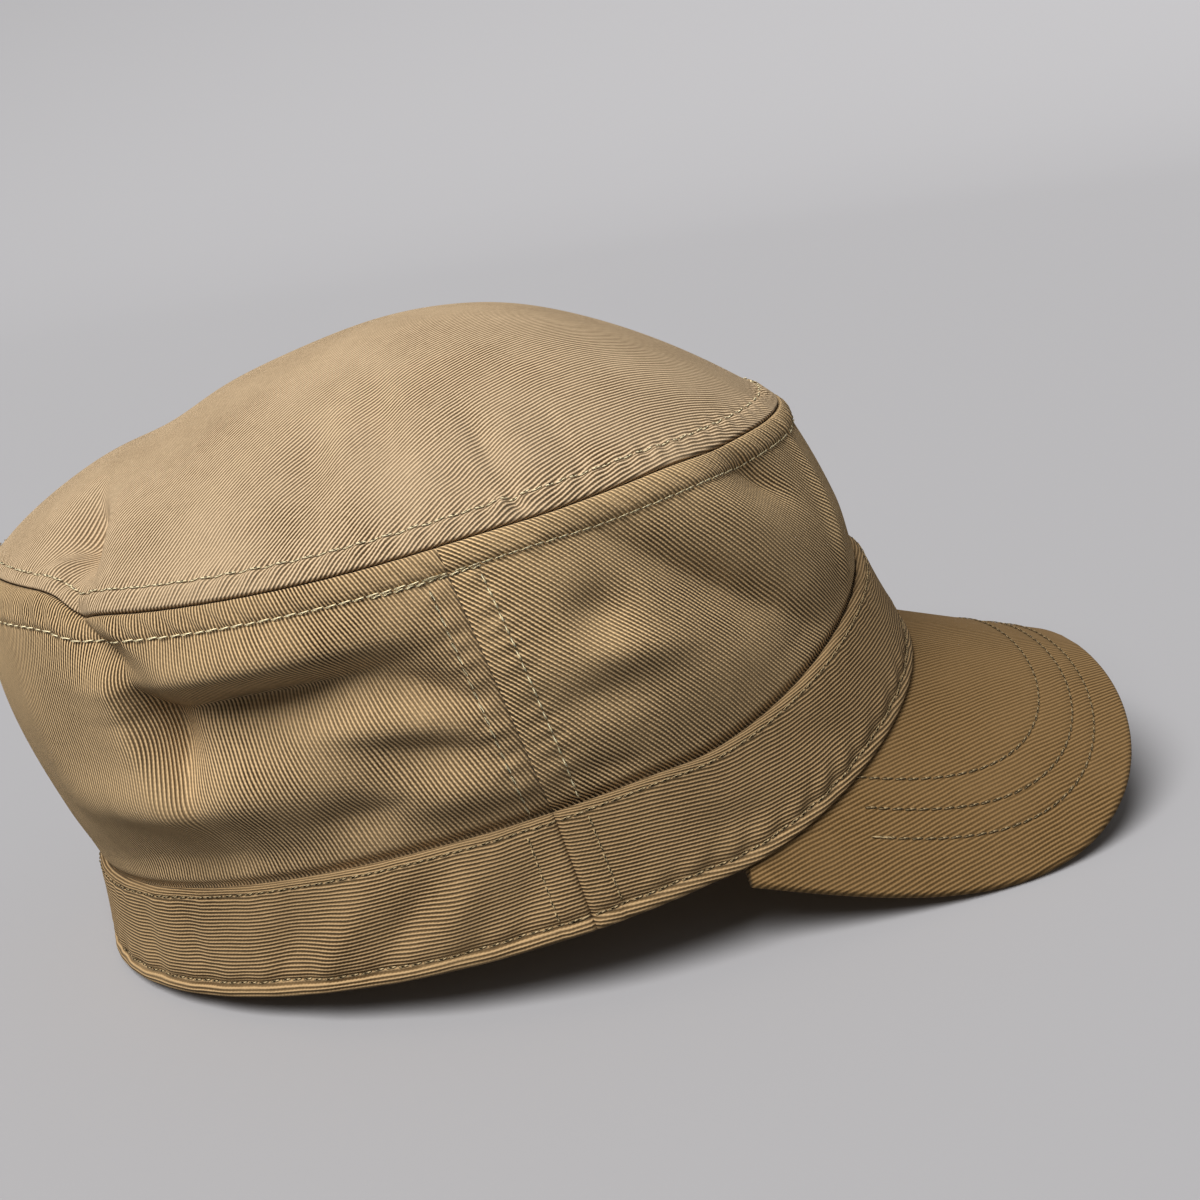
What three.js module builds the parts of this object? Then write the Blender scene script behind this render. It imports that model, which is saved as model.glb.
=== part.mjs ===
// Army cap: flat-topped cloth cap with a sewn headband and a curved stiff peak.
// Millimetres. The worn frame has its rim plane at z = 0, the peak towards -Y,
// the wearer's right side towards -X. Angles round the head start at the front
// and grow towards -X.
import * as THREE from "three";

const DEGREE = Math.PI / 180;

// Ovals that shape the cap, each one by its front and rear y, its half width
// and the y of its widest place
const RIM_OVAL = { front: -99.5, rear: 101, half: 84, widest: 0 };
const BAND_TOP_OVAL = { front: -92.8, rear: 98, half: 80.6, widest: 1.4 };
const SEAM_OVAL = { front: -82.4, rear: 101, half: 75.6, widest: 7.7 };
const FRONT_FULLNESS = 0.03;

// Heights and lengths given as [front, side, rear]
const BAND_HEIGHT = [23.5, 25, 22];
const SEAM_HEIGHT = [77.5, 82, 87.5];
const WALL_LENGTH = [42, 58, 68];
const WALL_BULGE = [1.2, 4.5, 4.5];
const WALL_SKEW = [1.25, 1.2, 1.5];
const WALL_ROUNDNESS = 0.8;
const DOME_POWER = [2, 1.95, 1.5];
const DOME_SHOULDER = [1, 0.85, 0.57];

// Top panel
const APEX_HEIGHT = 119.6;
const TOP_LENGTH = 95;
const DENT_FADE = 4;

// Cloth and seams
const CROWN_CLOTH = 1.6;
const BAND_CLOTH = 2.2;
const PEAK_THICKNESS = 3;
const PANEL_GAP = 0.3;
const PEAK_GAP = 0.4;
const SEAM_STRIP = 5;
const SEAM_STRIP_RISE = 0.5;
const SEAM_STRIP_STEP = 0.4;
const TUCK_DEPTH = 6;
const TUCK_INSET = 2.6;
const TUCK_RUN = 7;
const SIDE_SEAM_ANGLE = 88;
const EDGE_ROUND = 0.5;

// Peak, cut flat and bent round one cylinder that slopes forward and down
const PEAK_BEND_RADIUS = 95;
const PEAK_SLOPE = 25.3 * DEGREE;
const PEAK_HEIGHT = 15.1;
const PEAK_START = -100;
const PEAK_HALF_WIDTH = 95.2;
const PEAK_REACH = 96.8;
const PEAK_REAR = -49.1;
const PEAK_SQUARENESS = 3.2;
const PEAK_CORNER_ANGLE = 68;
const PEAK_EDGE = 0.9;
const PEAK_EDGE_RUN = 1.4;
const PEAK_EDGE_SHARE = 0.4;
const STEEPEST_BEND = 0.99;
const RIM_BLEND = [66, 77];

// Scale that turns an angle round the head into millimetres of cloth
const GIRTH_RADIUS = 85;
const NORMAL_STEP_ANGLE = 0.02;
const NORMAL_STEP_LENGTH = 3;

// Folds of the crown. Columns: angle, height over the top seam, half length,
// half width on the upper side, half width on the lower side, turn, rise,
// roundness (2 is a soft roll, 1 a sharp crease)
const CROWN_FOLDS = [
  [114, -21.5, 18, 5, 9.5, 2, -9, 1.3],
  [100, -21, 9, 4, 7, 30, -2, 1.5],
  [94, -26, 9, 4, 6, 44, -3, 1.6],
  [114, -10.5, 22, 4, 5, 3, 3.4, 2],
  [126, -28, 11, 6, 2.2, 84, -9, 1.4],
  [131.5, -22, 15, 2.6, 8, 85, 3, 2],
  [131, -41, 22, 8, 6, -2, 4.5, 2],
  [108, -48, 10, 5, 4.5, -8, -2.6, 1.6],
  [134, -59, 26, 11, 6, 0, -4.5, 2],
  [98, -37.5, 11, 3.4, 6, 20, -3, 1.6],
  [104, -31, 12, 4.5, 4, 14, 1.4, 2],
  [98, -48, 14, 4.5, 4.5, 8, 1.6, 2],
  [146, 14, 12, 2.4, 11, 35, -9.5, 1.5],
  [135, -4, 9, 1.8, 5.5, 39, -4.5, 1.2],
  [147, 5, 5, 3.5, 3.5, 90, 2.4, 2],
  [130, -4, 8, 4, 2, 39, 1.6, 2],
  [150, -34, 22, 8, 8, 80, 1.2, 2],
  [104, 24, 14, 6, 8, 85, -1.1, 2],
  [92, 30, 16, 6, 8, 88, -0.9, 2],
  [77, 16, 10, 2.6, 2.6, 88, -0.8, 2],
  [82, 10, 7, 2.6, 3, 45, -1, 2],
  [72, 14, 10, 3, 3, 92, 0.5, 2],
  [66, 13, 9, 3, 3, 95, -0.5, 2],
  [118, 9, 16, 3.5, 3.5, 0, -0.7, 2],
  [57, -23, 25, 4.5, 9, 43, -5, 1.6],
  [50, -12, 18, 6, 6, 45, 1.8, 2],
  [40, -9, 10, 3.5, 5, 42, -3, 1.6],
  [73, -20, 6, 5, 5.5, 0, -2.2, 2],
  [72, -30, 11, 4, 4, 10, 1.4, 2],
  [77, -37, 11, 3.5, 5, 0, -1, 2],
  [26, -24, 20, 3, 3.5, 100, 1.6, 2],
  [79, -53, 6, 2.5, 2.5, 10, -0.8, 2],
];

// Folds of the headband, with the height measured from the rim
const BAND_FOLDS = [
  [150, 12, 12, 3.2, 3.2, 90, -0.8, 2],
  [140, 12, 12, 3, 3, 90, -0.8, 2],
  [124, 10, 12, 4, 4, -70, -0.9, 2],
  [116, 12, 13, 3.5, 3.5, -55, 0.8, 2],
  [108, 12, 12, 3.5, 3.5, -50, -1, 2],
  [102, 12, 12, 3.5, 3.5, -50, 0.7, 2],
  [94, 10, 10, 3.5, 3.5, -60, -0.6, 2],
  [66, 9, 10, 4, 4, 20, -0.8, 2],
  [50, 12, 12, 5, 5, 35, -0.6, 2],
];

// Where the crown's cloth has slipped up and bends the top seam. Columns: angle
// and height of the middle, half length towards the brow, half length towards
// the rear, half height, slip
const SEAM_SLIPS = [
  [172, 0, 46, 40, 26, 3.4],
];
const SLIP_STEEPNESS = 8;

// Broad dents of the top panel. Columns: x, y, half length, half width, rise
const TOP_DENTS = [
  [0, 52, 60, 11, -1.8],
  [0, -30, 50, 14, 0.4],
];

// Grid lines. Angles are close together where the folds are
const FOLDS_END = 160;
const FINE_STEP = 4;
const COARSE_STEP = 7;
const WALL_ROWS = [0, 0.06, 0.14, 0.23, 0.32, 0.41, 0.5, 0.59, 0.68, 0.77, 0.85];
const WALL_ROWS_END = 0.93;
const TOP_ROWS = [9.5, 14.5, 20, 27, 35, 45, 57, 74, TOP_LENGTH];
const BAND_ROWS = [0, 0.04, 0.35, 0.68, 0.96, 1];
const PEAK_COLUMNS = 44;
const PEAK_ROWS = 9;

// The way it rests: turned up at the front until the peak's two side edges
// and the rear of the rim stand on the ground
const REST_TURN = 7.467;
const REST_LIFT = 13.059;
const REST_SHIFT = 14.674;

// Triangles with less than this area, in square millimetres, are left out
const SMALLEST_FACE = 1e-6;

const CLOTH_COLOR = 0xa98a5c;
const BAND_COLOR = 0x9f8154;
const PEAK_COLOR = 0x94754a;
const CLOTH_ROUGHNESS = 0.92;

function smooth(from, to, value) {
  const t = Math.min(Math.max((value - from) / (to - from), 0), 1);
  return t * t * (3 - 2 * t);
}

// Value at an angle, out of one at the front, one at the side, one at the rear
function around(values, angle) {
  const c = Math.cos(angle);
  const end = c > 0 ? values[0] : values[2];
  return values[1] + (end - values[1]) * c * c;
}

function ovalPoint(oval, angle) {
  const c = Math.cos(angle);
  const s = Math.sin(angle);
  const reach = c > 0
    ? (oval.front - oval.widest) * c * (1 + FRONT_FULLNESS * s * s)
    : (oval.widest - oval.rear) * c;
  return [-oval.half * s, oval.widest + reach];
}

// Height of the peak's upper face over a place of the worn frame
function archHeight(x, y) {
  const ratio = Math.min(Math.abs(x) / PEAK_BEND_RADIUS, STEEPEST_BEND);
  const drop = PEAK_BEND_RADIUS * (1 - Math.sqrt(1 - ratio * ratio));
  const slope = Math.tan(PEAK_SLOPE);
  return PEAK_HEIGHT + (y - PEAK_START) * slope - drop / Math.cos(PEAK_SLOPE);
}

function rimHeight(x, y, angle) {
  const turn = Math.abs(Math.atan2(Math.sin(angle), Math.cos(angle))) / DEGREE;
  return archHeight(x, y) * (1 - smooth(RIM_BLEND[0], RIM_BLEND[1], turn));
}

function foldRise(table, angle, height) {
  let rise = 0;
  for (const fold of table) {
    const [foldAngle, foldHeight, length, upper, lower, turn, size, roundness] = fold;
    const away = angle - foldAngle * DEGREE;
    const across = Math.atan2(Math.sin(away), Math.cos(away)) * GIRTH_RADIUS;
    const up = height - foldHeight;
    const c = Math.cos(turn * DEGREE);
    const s = Math.sin(turn * DEGREE);
    const along = (across * c + up * s) / length;
    const side = up * c - across * s;
    const spread = Math.abs(side) / (side > 0 ? upper : lower);
    rise += size * Math.exp(-along * along - spread ** roundness);
  }
  return rise;
}

function slip(angle, s) {
  let shift = 0;
  for (const [middle, height, ahead, behind, tall, size] of SEAM_SLIPS) {
    const away = angle - middle * DEGREE;
    const across = Math.atan2(Math.sin(away), Math.cos(away)) * GIRTH_RADIUS;
    const side = Math.abs(across) / (across > 0 ? behind : ahead);
    shift += size * Math.exp(-(side ** SLIP_STEEPNESS) - ((s - height) / tall) ** 2);
  }
  return shift;
}

function dentRise(x, y) {
  let rise = 0;
  for (const [dentX, dentY, length, width, size] of TOP_DENTS) {
    const along = (x - dentX) / length;
    const side = (y - dentY) / width;
    rise += size * Math.exp(-along * along - side * side);
  }
  return rise;
}

// A place of the headband: v runs from the rim to the upper edge
function bandPoint(angle, v, depth) {
  const low = ovalPoint(RIM_OVAL, angle);
  const high = ovalPoint(BAND_TOP_OVAL, angle);
  const tall = around(BAND_HEIGHT, angle);
  const wave = depth > EDGE_ROUND ? 0 : Math.sqrt(Math.max(Math.sin(Math.PI * v), 0));
  const out = foldRise(BAND_FOLDS, angle, v * tall) * wave - depth;
  const x = low[0] + (high[0] - low[0]) * v - out * Math.sin(angle);
  const y = low[1] + (high[1] - low[1]) * v - out * Math.cos(angle);
  const start = rimHeight(
    low[0] + depth * Math.sin(angle), low[1] + depth * Math.cos(angle), angle);
  const top = rimHeight(low[0], low[1], angle) + tall;
  return new THREE.Vector3(x, y, start + (top - start) * v);
}

function wallBase(angle, v) {
  const low = ovalPoint(BAND_TOP_OVAL, angle);
  const high = ovalPoint(SEAM_OVAL, angle);
  const rim = ovalPoint(RIM_OVAL, angle);
  const start = rimHeight(rim[0], rim[1], angle) + around(BAND_HEIGHT, angle);
  const end = around(SEAM_HEIGHT, angle);
  const inside = Math.min(Math.max(v, 0), 1);
  const arc = Math.sin(Math.PI * inside ** around(WALL_SKEW, angle));
  const bulge = around(WALL_BULGE, angle) * Math.max(arc, 0) ** WALL_ROUNDNESS;
  return new THREE.Vector3(
    low[0] + (high[0] - low[0]) * v - bulge * Math.sin(angle),
    low[1] + (high[1] - low[1]) * v - bulge * Math.cos(angle),
    start + (end - start) * v);
}

function topBase(angle, r) {
  const edge = ovalPoint(SEAM_OVAL, angle);
  const start = around(SEAM_HEIGHT, angle);
  const reach = Math.min(Math.max(r, 0), 1);
  const fall = 1 - reach ** around(DOME_POWER, angle);
  const dome = fall ** around(DOME_SHOULDER, angle);
  const x = edge[0] * reach;
  const y = edge[1] * reach;
  const dent = dentRise(x, y) * Math.min((1 - reach) * DENT_FADE, 1);
  return new THREE.Vector3(x, y, start + (APEX_HEIGHT - start) * dome + dent);
}

// The crown's smooth shape; s is measured from the top seam, down is negative
function crownBase(angle, s) {
  if (s <= 0) {
    return wallBase(angle, 1 + s / around(WALL_LENGTH, angle));
  }
  return topBase(angle, 1 - s / TOP_LENGTH);
}

function crownNormal(angle, s) {
  if (s > TOP_LENGTH - 1) {
    return new THREE.Vector3(0, 0, 1);
  }
  const round = crownBase(angle + NORMAL_STEP_ANGLE, s)
    .sub(crownBase(angle - NORMAL_STEP_ANGLE, s));
  const rise = crownBase(angle, s + NORMAL_STEP_LENGTH)
    .sub(crownBase(angle, s - NORMAL_STEP_LENGTH));
  return rise.cross(round).normalize();
}

// A place of the crown, depth under its outer face
function crownPoint(angle, s, depth) {
  const above = s + around(WALL_LENGTH, angle);
  const free = smooth(0, TUCK_RUN, above);
  const fold = foldRise(CROWN_FOLDS, angle, s) * free;
  const strip = 1 - smooth(SEAM_STRIP, SEAM_STRIP + SEAM_STRIP_STEP, Math.abs(s));
  const rise = depth > 0 ? 0 : SEAM_STRIP_RISE * strip;
  const out = fold + rise - depth - TUCK_INSET * (1 - free);
  const place = s + slip(angle, s);
  return crownBase(angle, place).addScaledVector(crownNormal(angle, place), out);
}

// A place of the peak's flat cut, bent round its cylinder
function peakSheet(s, t, depth) {
  const turn = s / PEAK_BEND_RADIUS;
  const radius = PEAK_BEND_RADIUS - depth;
  const drop = PEAK_BEND_RADIUS - radius * Math.cos(turn);
  return new THREE.Vector3(
    radius * Math.sin(turn),
    PEAK_START - t * Math.cos(PEAK_SLOPE) + drop * Math.sin(PEAK_SLOPE),
    PEAK_HEIGHT - t * Math.sin(PEAK_SLOPE) - drop * Math.cos(PEAK_SLOPE));
}

// Where the headband's rim lies on the flat cut, set in by a depth
function peakInner(angle, inset) {
  const rim = ovalPoint(RIM_OVAL, angle);
  const x = rim[0] + inset * Math.sin(angle);
  const y = rim[1] + inset * Math.cos(angle);
  const turn = Math.asin(x / PEAK_BEND_RADIUS);
  const drop = PEAK_BEND_RADIUS * (1 - Math.cos(turn));
  const t = (PEAK_START - y + drop * Math.sin(PEAK_SLOPE)) / Math.cos(PEAK_SLOPE);
  return [PEAK_BEND_RADIUS * turn, t];
}

function peakOuter(u) {
  const turn = (u + 1) / 2 * Math.PI;
  const c = -Math.cos(turn);
  const power = 2 / PEAK_SQUARENESS;
  const s = PEAK_HALF_WIDTH * Math.sign(c) * Math.abs(c) ** power;
  const t = PEAK_REAR + PEAK_REACH * Math.max(Math.sin(turn), 0) ** power;
  return [s, t];
}

function peakPoint(u, w, depth) {
  const inner = peakInner(-u * PEAK_CORNER_ANGLE * DEGREE, BAND_CLOTH);
  const outer = peakOuter(u);
  const s = inner[0] + (outer[0] - inner[0]) * w;
  const t = inner[1] + (outer[1] - inner[1]) * w;
  return peakSheet(s, t, depth);
}

// A closed solid between two grids of places. Triangles with two corners at
// one place are left out, so a row may shrink to a point
function shellSolid(name, outer, inner, closed, color) {
  const columns = outer.length;
  const rows = outer[0].length;
  const places = [...outer.flat(), ...inner.flat()];
  const outerIndex = (i, j) => (i % columns) * rows + j;
  const innerIndex = (i, j) => columns * rows + outerIndex(i, j);
  const faces = [];
  const addFace = (a, b, c) => {
    const [p, q, r] = [places[a], places[b], places[c]];
    const area = q.clone().sub(p).cross(r.clone().sub(p)).length();
    if (area > SMALLEST_FACE) {
      faces.push([a, b, c]);
    }
  };
  const addQuad = (a, b, c, d) => {
    addFace(a, b, c);
    addFace(a, c, d);
  };
  const spans = closed ? columns : columns - 1;
  for (let i = 0; i < spans; i += 1) {
    for (let j = 0; j < rows - 1; j += 1) {
      addQuad(outerIndex(i, j), outerIndex(i, j + 1),
        outerIndex(i + 1, j + 1), outerIndex(i + 1, j));
      addQuad(innerIndex(i, j), innerIndex(i + 1, j),
        innerIndex(i + 1, j + 1), innerIndex(i, j + 1));
    }
    addQuad(outerIndex(i, 0), outerIndex(i + 1, 0),
      innerIndex(i + 1, 0), innerIndex(i, 0));
    addQuad(outerIndex(i, rows - 1), innerIndex(i, rows - 1),
      innerIndex(i + 1, rows - 1), outerIndex(i + 1, rows - 1));
  }
  if (!closed) {
    const last = columns - 1;
    for (let j = 0; j < rows - 1; j += 1) {
      addQuad(outerIndex(0, j), innerIndex(0, j),
        innerIndex(0, j + 1), outerIndex(0, j + 1));
      addQuad(outerIndex(last, j), outerIndex(last, j + 1),
        innerIndex(last, j + 1), innerIndex(last, j));
    }
  }
  let volume = 0;
  for (const [a, b, c] of faces) {
    volume += places[a].dot(places[b].clone().cross(places[c]));
  }
  const positions = [];
  for (const [a, b, c] of faces) {
    const order = volume > 0 ? [a, b, c] : [a, c, b];
    for (const index of order) {
      positions.push(places[index].x, places[index].y, places[index].z);
    }
  }
  const geometry = new THREE.BufferGeometry();
  geometry.setAttribute("position", new THREE.Float32BufferAttribute(positions, 3));
  geometry.computeVertexNormals();
  const material = new THREE.MeshStandardMaterial({ color, roughness: CLOTH_ROUGHNESS });
  const mesh = new THREE.Mesh(geometry, material);
  mesh.name = name;
  return mesh;
}

// Even steps from one angle to another, both ends kept, in radians
function angleSteps(from, to, step) {
  const count = Math.ceil((to - from) / step);
  const steps = [];
  for (let i = 0; i <= count; i += 1) {
    steps.push((from + (to - from) * i / count) * DEGREE);
  }
  return steps;
}

function insetEnds(angles) {
  const gap = PANEL_GAP / 2 / GIRTH_RADIUS;
  const moved = [...angles];
  moved[0] += gap;
  moved[moved.length - 1] -= gap;
  return moved;
}

const frontAngles = angleSteps(-SIDE_SEAM_ANGLE, SIDE_SEAM_ANGLE, FINE_STEP);
const backAngles = [
  ...angleSteps(SIDE_SEAM_ANGLE, FOLDS_END, FINE_STEP),
  ...angleSteps(FOLDS_END, 360 - SIDE_SEAM_ANGLE, COARSE_STEP).slice(1),
];

function grid(angles, rows, place) {
  return angles.map((angle) => rows.map((row, index) => place(angle, row, index)));
}

function wallHeights(angle) {
  const length = around(WALL_LENGTH, angle);
  const strip = SEAM_STRIP + SEAM_STRIP_STEP;
  const rows = WALL_ROWS.map((v) => -length + (length - strip) * v / WALL_ROWS_END);
  return [-length - TUCK_DEPTH, ...rows, -strip, -SEAM_STRIP, -PANEL_GAP / 2];
}

function buildWall(name, angles) {
  const ends = insetEnds(angles);
  const side = (depth) => ends.map(
    (angle) => wallHeights(angle).map((s) => crownPoint(angle, s, depth)));
  return shellSolid(name, side(0), side(CROWN_CLOTH), false, CLOTH_COLOR);
}

function buildTop() {
  const angles = [...frontAngles, ...backAngles.slice(1, -1)];
  const strip = SEAM_STRIP + SEAM_STRIP_STEP;
  const rows = [PANEL_GAP / 2, SEAM_STRIP, strip, ...TOP_ROWS];
  const outer = grid(angles, rows, (angle, s) => crownPoint(angle, s, 0));
  const inner = grid(angles, rows, (angle, s) => crownPoint(angle, s, CROWN_CLOTH));
  return shellSolid("crown_top", outer, inner, true, CLOTH_COLOR);
}

function buildBand(name, angles) {
  const ends = insetEnds(angles);
  const last = BAND_ROWS.length - 1;
  const outer = grid(ends, BAND_ROWS, (angle, v, index) => {
    const depth = index === 0 || index === last ? EDGE_ROUND : 0;
    return bandPoint(angle, v, depth);
  });
  const inner = grid(ends, BAND_ROWS, (angle, v) => bandPoint(angle, v, BAND_CLOTH));
  return shellSolid(name, outer, inner, false, BAND_COLOR);
}

function buildPeak() {
  const columns = [];
  for (let i = 0; i <= PEAK_COLUMNS; i += 1) {
    columns.push(-1 + 2 * i / PEAK_COLUMNS);
  }
  const rows = [];
  for (let j = 0; j <= PEAK_ROWS; j += 1) {
    rows.push(j / PEAK_ROWS);
  }
  const side = (flat, edge) => columns.map((u) => {
    const inner = peakPoint(u, 0, 0);
    const long = peakPoint(u, 1, 0).distanceTo(inner);
    const run = Math.min(PEAK_EDGE_RUN / long, PEAK_EDGE_SHARE);
    const places = rows.map((w) => peakPoint(u, w * (1 - run), flat));
    return [...places, peakPoint(u, 1, edge)];
  });
  const under = PEAK_GAP + PEAK_THICKNESS;
  const upper = side(PEAK_GAP, PEAK_GAP + PEAK_EDGE);
  const lower = side(under, under - PEAK_EDGE);
  return shellSolid("peak", upper, lower, false, PEAK_COLOR);
}

const cap = new THREE.Group();
cap.name = "cap";
cap.add(buildTop());
cap.add(buildWall("crown_side_front", frontAngles));
cap.add(buildWall("crown_side_back", backAngles));
cap.add(buildBand("band_front", frontAngles));
cap.add(buildBand("band_back", backAngles));
cap.add(buildPeak());
cap.rotation.x = -REST_TURN * DEGREE;
cap.position.set(0, REST_SHIFT, REST_LIFT);

const part = new THREE.Group();
part.name = "army_cap";
part.add(cap);

export default part;
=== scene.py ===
# %% [markdown]
# # Army cap
# A soft flat-topped cap of khaki cotton twill: an oval top panel, two side
# panels that slump into folds, a sewn headband and a curved stiff peak. The
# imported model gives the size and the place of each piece. This lesson dresses
# each one as cloth, sews it, lights it and sets the camera.

# %% Load the frame
import math
import bmesh
import bpy
import numpy as np
from mathutils import Matrix, Vector


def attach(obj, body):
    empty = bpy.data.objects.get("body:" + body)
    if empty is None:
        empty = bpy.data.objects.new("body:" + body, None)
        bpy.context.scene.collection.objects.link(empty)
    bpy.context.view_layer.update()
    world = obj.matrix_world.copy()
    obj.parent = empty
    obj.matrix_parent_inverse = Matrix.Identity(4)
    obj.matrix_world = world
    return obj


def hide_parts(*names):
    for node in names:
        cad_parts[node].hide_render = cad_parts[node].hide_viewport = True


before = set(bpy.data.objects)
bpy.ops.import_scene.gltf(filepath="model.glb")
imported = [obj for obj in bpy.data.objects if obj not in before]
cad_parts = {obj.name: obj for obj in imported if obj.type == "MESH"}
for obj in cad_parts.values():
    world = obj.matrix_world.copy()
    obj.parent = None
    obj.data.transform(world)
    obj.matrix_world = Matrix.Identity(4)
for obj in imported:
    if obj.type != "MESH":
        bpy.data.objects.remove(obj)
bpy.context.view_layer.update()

print("nodes:", sorted(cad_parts))

# %% [markdown]
# ## The cap's shape as functions
# Folded cloth is hard to push about by hand, and it would never fit the model
# again. So the cap's form is a set of short functions, in millimetres, in the
# worn frame: angles start at the brow and grow towards the wearer's right, and
# heights on the crown are measured along the cloth from the top seam. They
# take whole arrays, because a loop over each point would be slow.

# %% Ovals and heights
MILLIMETRE = 0.001
GIRTH_RADIUS = 85.0
RIM_OVAL = {"front": -99.5, "rear": 101.0, "half": 84.0, "widest": 0.0}
BAND_TOP_OVAL = {"front": -92.8, "rear": 98.0, "half": 80.6, "widest": 1.4}
SEAM_OVAL = {"front": -82.4, "rear": 101.0, "half": 75.6, "widest": 7.7}
FRONT_FULLNESS = 0.03
BAND_HEIGHT = (23.5, 25.0, 22.0)
SEAM_HEIGHT = (77.5, 82.0, 87.5)
WALL_LENGTH = (42.0, 58.0, 68.0)
WALL_BULGE = (1.2, 4.5, 4.5)
WALL_SKEW = (1.25, 1.2, 1.5)
WALL_ROUNDNESS = 0.8
DOME_POWER = (2.0, 1.95, 1.5)
DOME_SHOULDER = (1.0, 0.85, 0.57)
APEX_HEIGHT = 119.6
TOP_LENGTH = 95.0
SIDE_SEAM = math.radians(88)


def smooth(start, end, value):
    """0 before start, 1 after end, and a soft S between them."""
    t = np.clip((value - start) / (end - start), 0, 1)
    return t * t * (3 - 2 * t)


def around(values, angle):
    """The value at an angle, out of one for the front, the side and the rear."""
    c = np.cos(angle)
    end = np.where(c > 0, values[0], values[2])
    return values[1] + (end - values[1]) * c * c


def oval_point(oval, angle):
    c = np.cos(angle)
    s = np.sin(angle)
    ahead = (oval["front"] - oval["widest"]) * c * (1 + FRONT_FULLNESS * s * s)
    behind = (oval["widest"] - oval["rear"]) * c
    return -oval["half"] * s, oval["widest"] + np.where(c > 0, ahead, behind)


def from_brow(angle):
    """How far an angle is from the brow, on either side, in radians."""
    return np.abs(np.arctan2(np.sin(angle), np.cos(angle)))


# %% The curved line of the peak and the rim
PEAK_BEND_RADIUS = 95.0
PEAK_SLOPE = math.radians(25.3)
PEAK_HEIGHT = 15.1
PEAK_START = -100.0
RIM_BLEND = (66, 77)
BEND_LIMIT = 0.99


def arch_height(x, y):
    """Height of the peak's upper face over a place of the worn frame."""
    ratio = np.minimum(np.abs(x) / PEAK_BEND_RADIUS, BEND_LIMIT)
    drop = PEAK_BEND_RADIUS * (1 - np.sqrt(1 - ratio * ratio))
    ahead = (y - PEAK_START) * math.tan(PEAK_SLOPE)
    return PEAK_HEIGHT + ahead - drop / math.cos(PEAK_SLOPE)


def rim_height(x, y, angle):
    turn = np.degrees(from_brow(angle))
    return arch_height(x, y) * (1 - smooth(*RIM_BLEND, turn))


# %% [markdown]
# ## Folds
# Each fold is one row of a table: where it is, how long and how wide it is on
# its two sides, how it is turned and how far it rises or sinks. A bell curve
# along and across gives it soft ends. A narrow side next to a wide one makes
# the sharp lip that a real fold has.

# %% Fold tables and their sum
# Columns: angle, height over the top seam, half length, half width on the
# upper side, half width on the lower side, turn, rise, roundness (2 is a
# soft roll, 1 a sharp crease)
CROWN_FOLDS = (
    (115, -20.4, 19, 3, 9, -4, -10, 1.3),
    (100, -21, 9, 4, 7, 30, -2, 1.5),
    (94, -26, 9, 4, 6, 44, -3, 1.6),
    (116, -13.8, 24, 6.5, 2.8, -1, 3.6, 2),
    (129.5, -27, 12.5, 6.5, 1.6, 82, -8.7, 1.7),
    (133, -24, 15, 1.6, 8, 84, 2.2, 2),
    (131, -41, 22, 8, 6, -2, 4.5, 2),
    (108, -48, 10, 5, 4.5, -8, -2.6, 1.6),
    (134, -60, 26, 11, 6, 0, -2.6, 2),
    (98, -37.5, 11, 3.4, 6, 20, -3, 1.6),
    (104, -31, 12, 4.5, 4, 14, 1.4, 2),
    (98, -48, 14, 4.5, 4.5, 8, 1.6, 2),
    (146, 14, 13, 3.6, 9, 35, -9.5, 1.6),
    (135, -4, 9, 1.8, 5.5, 39, -4.5, 1.2),
    (147, 5, 5, 3.5, 3.5, 90, 2.4, 2),
    (130, -4, 8, 4, 2, 39, 1.6, 2),
    (150, -34, 22, 8, 8, 80, 1.2, 2),
    (104, 24, 14, 6, 8, 85, -1.9, 2),
    (92, 30, 16, 6, 8, 88, -1.3, 2),
    (77, 16, 10, 2.6, 2.6, 88, -1.1, 2),
    (82, 10, 7, 2.6, 3, 45, -1, 2),
    (72, 14, 10, 3, 3, 92, 0.5, 2),
    (66, 13, 9, 3, 3, 95, -0.5, 2),
    (118, 9, 16, 3.5, 3.5, 0, -0.7, 2),
    (57, -23, 25, 4.5, 9, 43, -5, 1.6),
    (50, -12, 18, 6, 6, 45, 1.8, 2),
    (40, -9, 10, 3.5, 5, 42, -3, 1.6),
    (73, -20, 6, 5, 5.5, 0, -2.2, 2),
    (72, -30, 11, 4, 4, 10, 1.4, 2),
    (77, -37, 11, 3.5, 5, 0, -1, 2),
    (26, -24, 20, 3, 3.5, 100, 1.6, 2),
    (79, -53, 6, 2.5, 2.5, 10, -0.8, 2),
)
# The same columns, with the height measured from the rim
BAND_FOLDS = (
    (150, 12, 12, 3.2, 3.2, 90, -0.8, 2),
    (140, 12, 12, 3, 3, 90, -0.8, 2),
    (124, 10, 12, 4, 4, -70, -1.5, 2),
    (116, 12, 13, 3.5, 3.5, -55, 1.4, 2),
    (108, 12, 12, 3.5, 3.5, -50, -1.6, 2),
    (102, 12, 12, 3.5, 3.5, -50, 1.1, 2),
    (94, 10, 10, 3.5, 3.5, -60, -0.9, 2),
    (66, 9, 10, 4, 4, 20, -0.8, 2),
    (50, 12, 12, 5, 5, 35, -0.6, 2),
)
# Columns: x, y, half length, half width, rise
TOP_DENTS = (
    (0, 52, 60, 11, -1.8),
    (0, -30, 50, 14, 0.4),
)
DENT_FADE = 4


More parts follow.
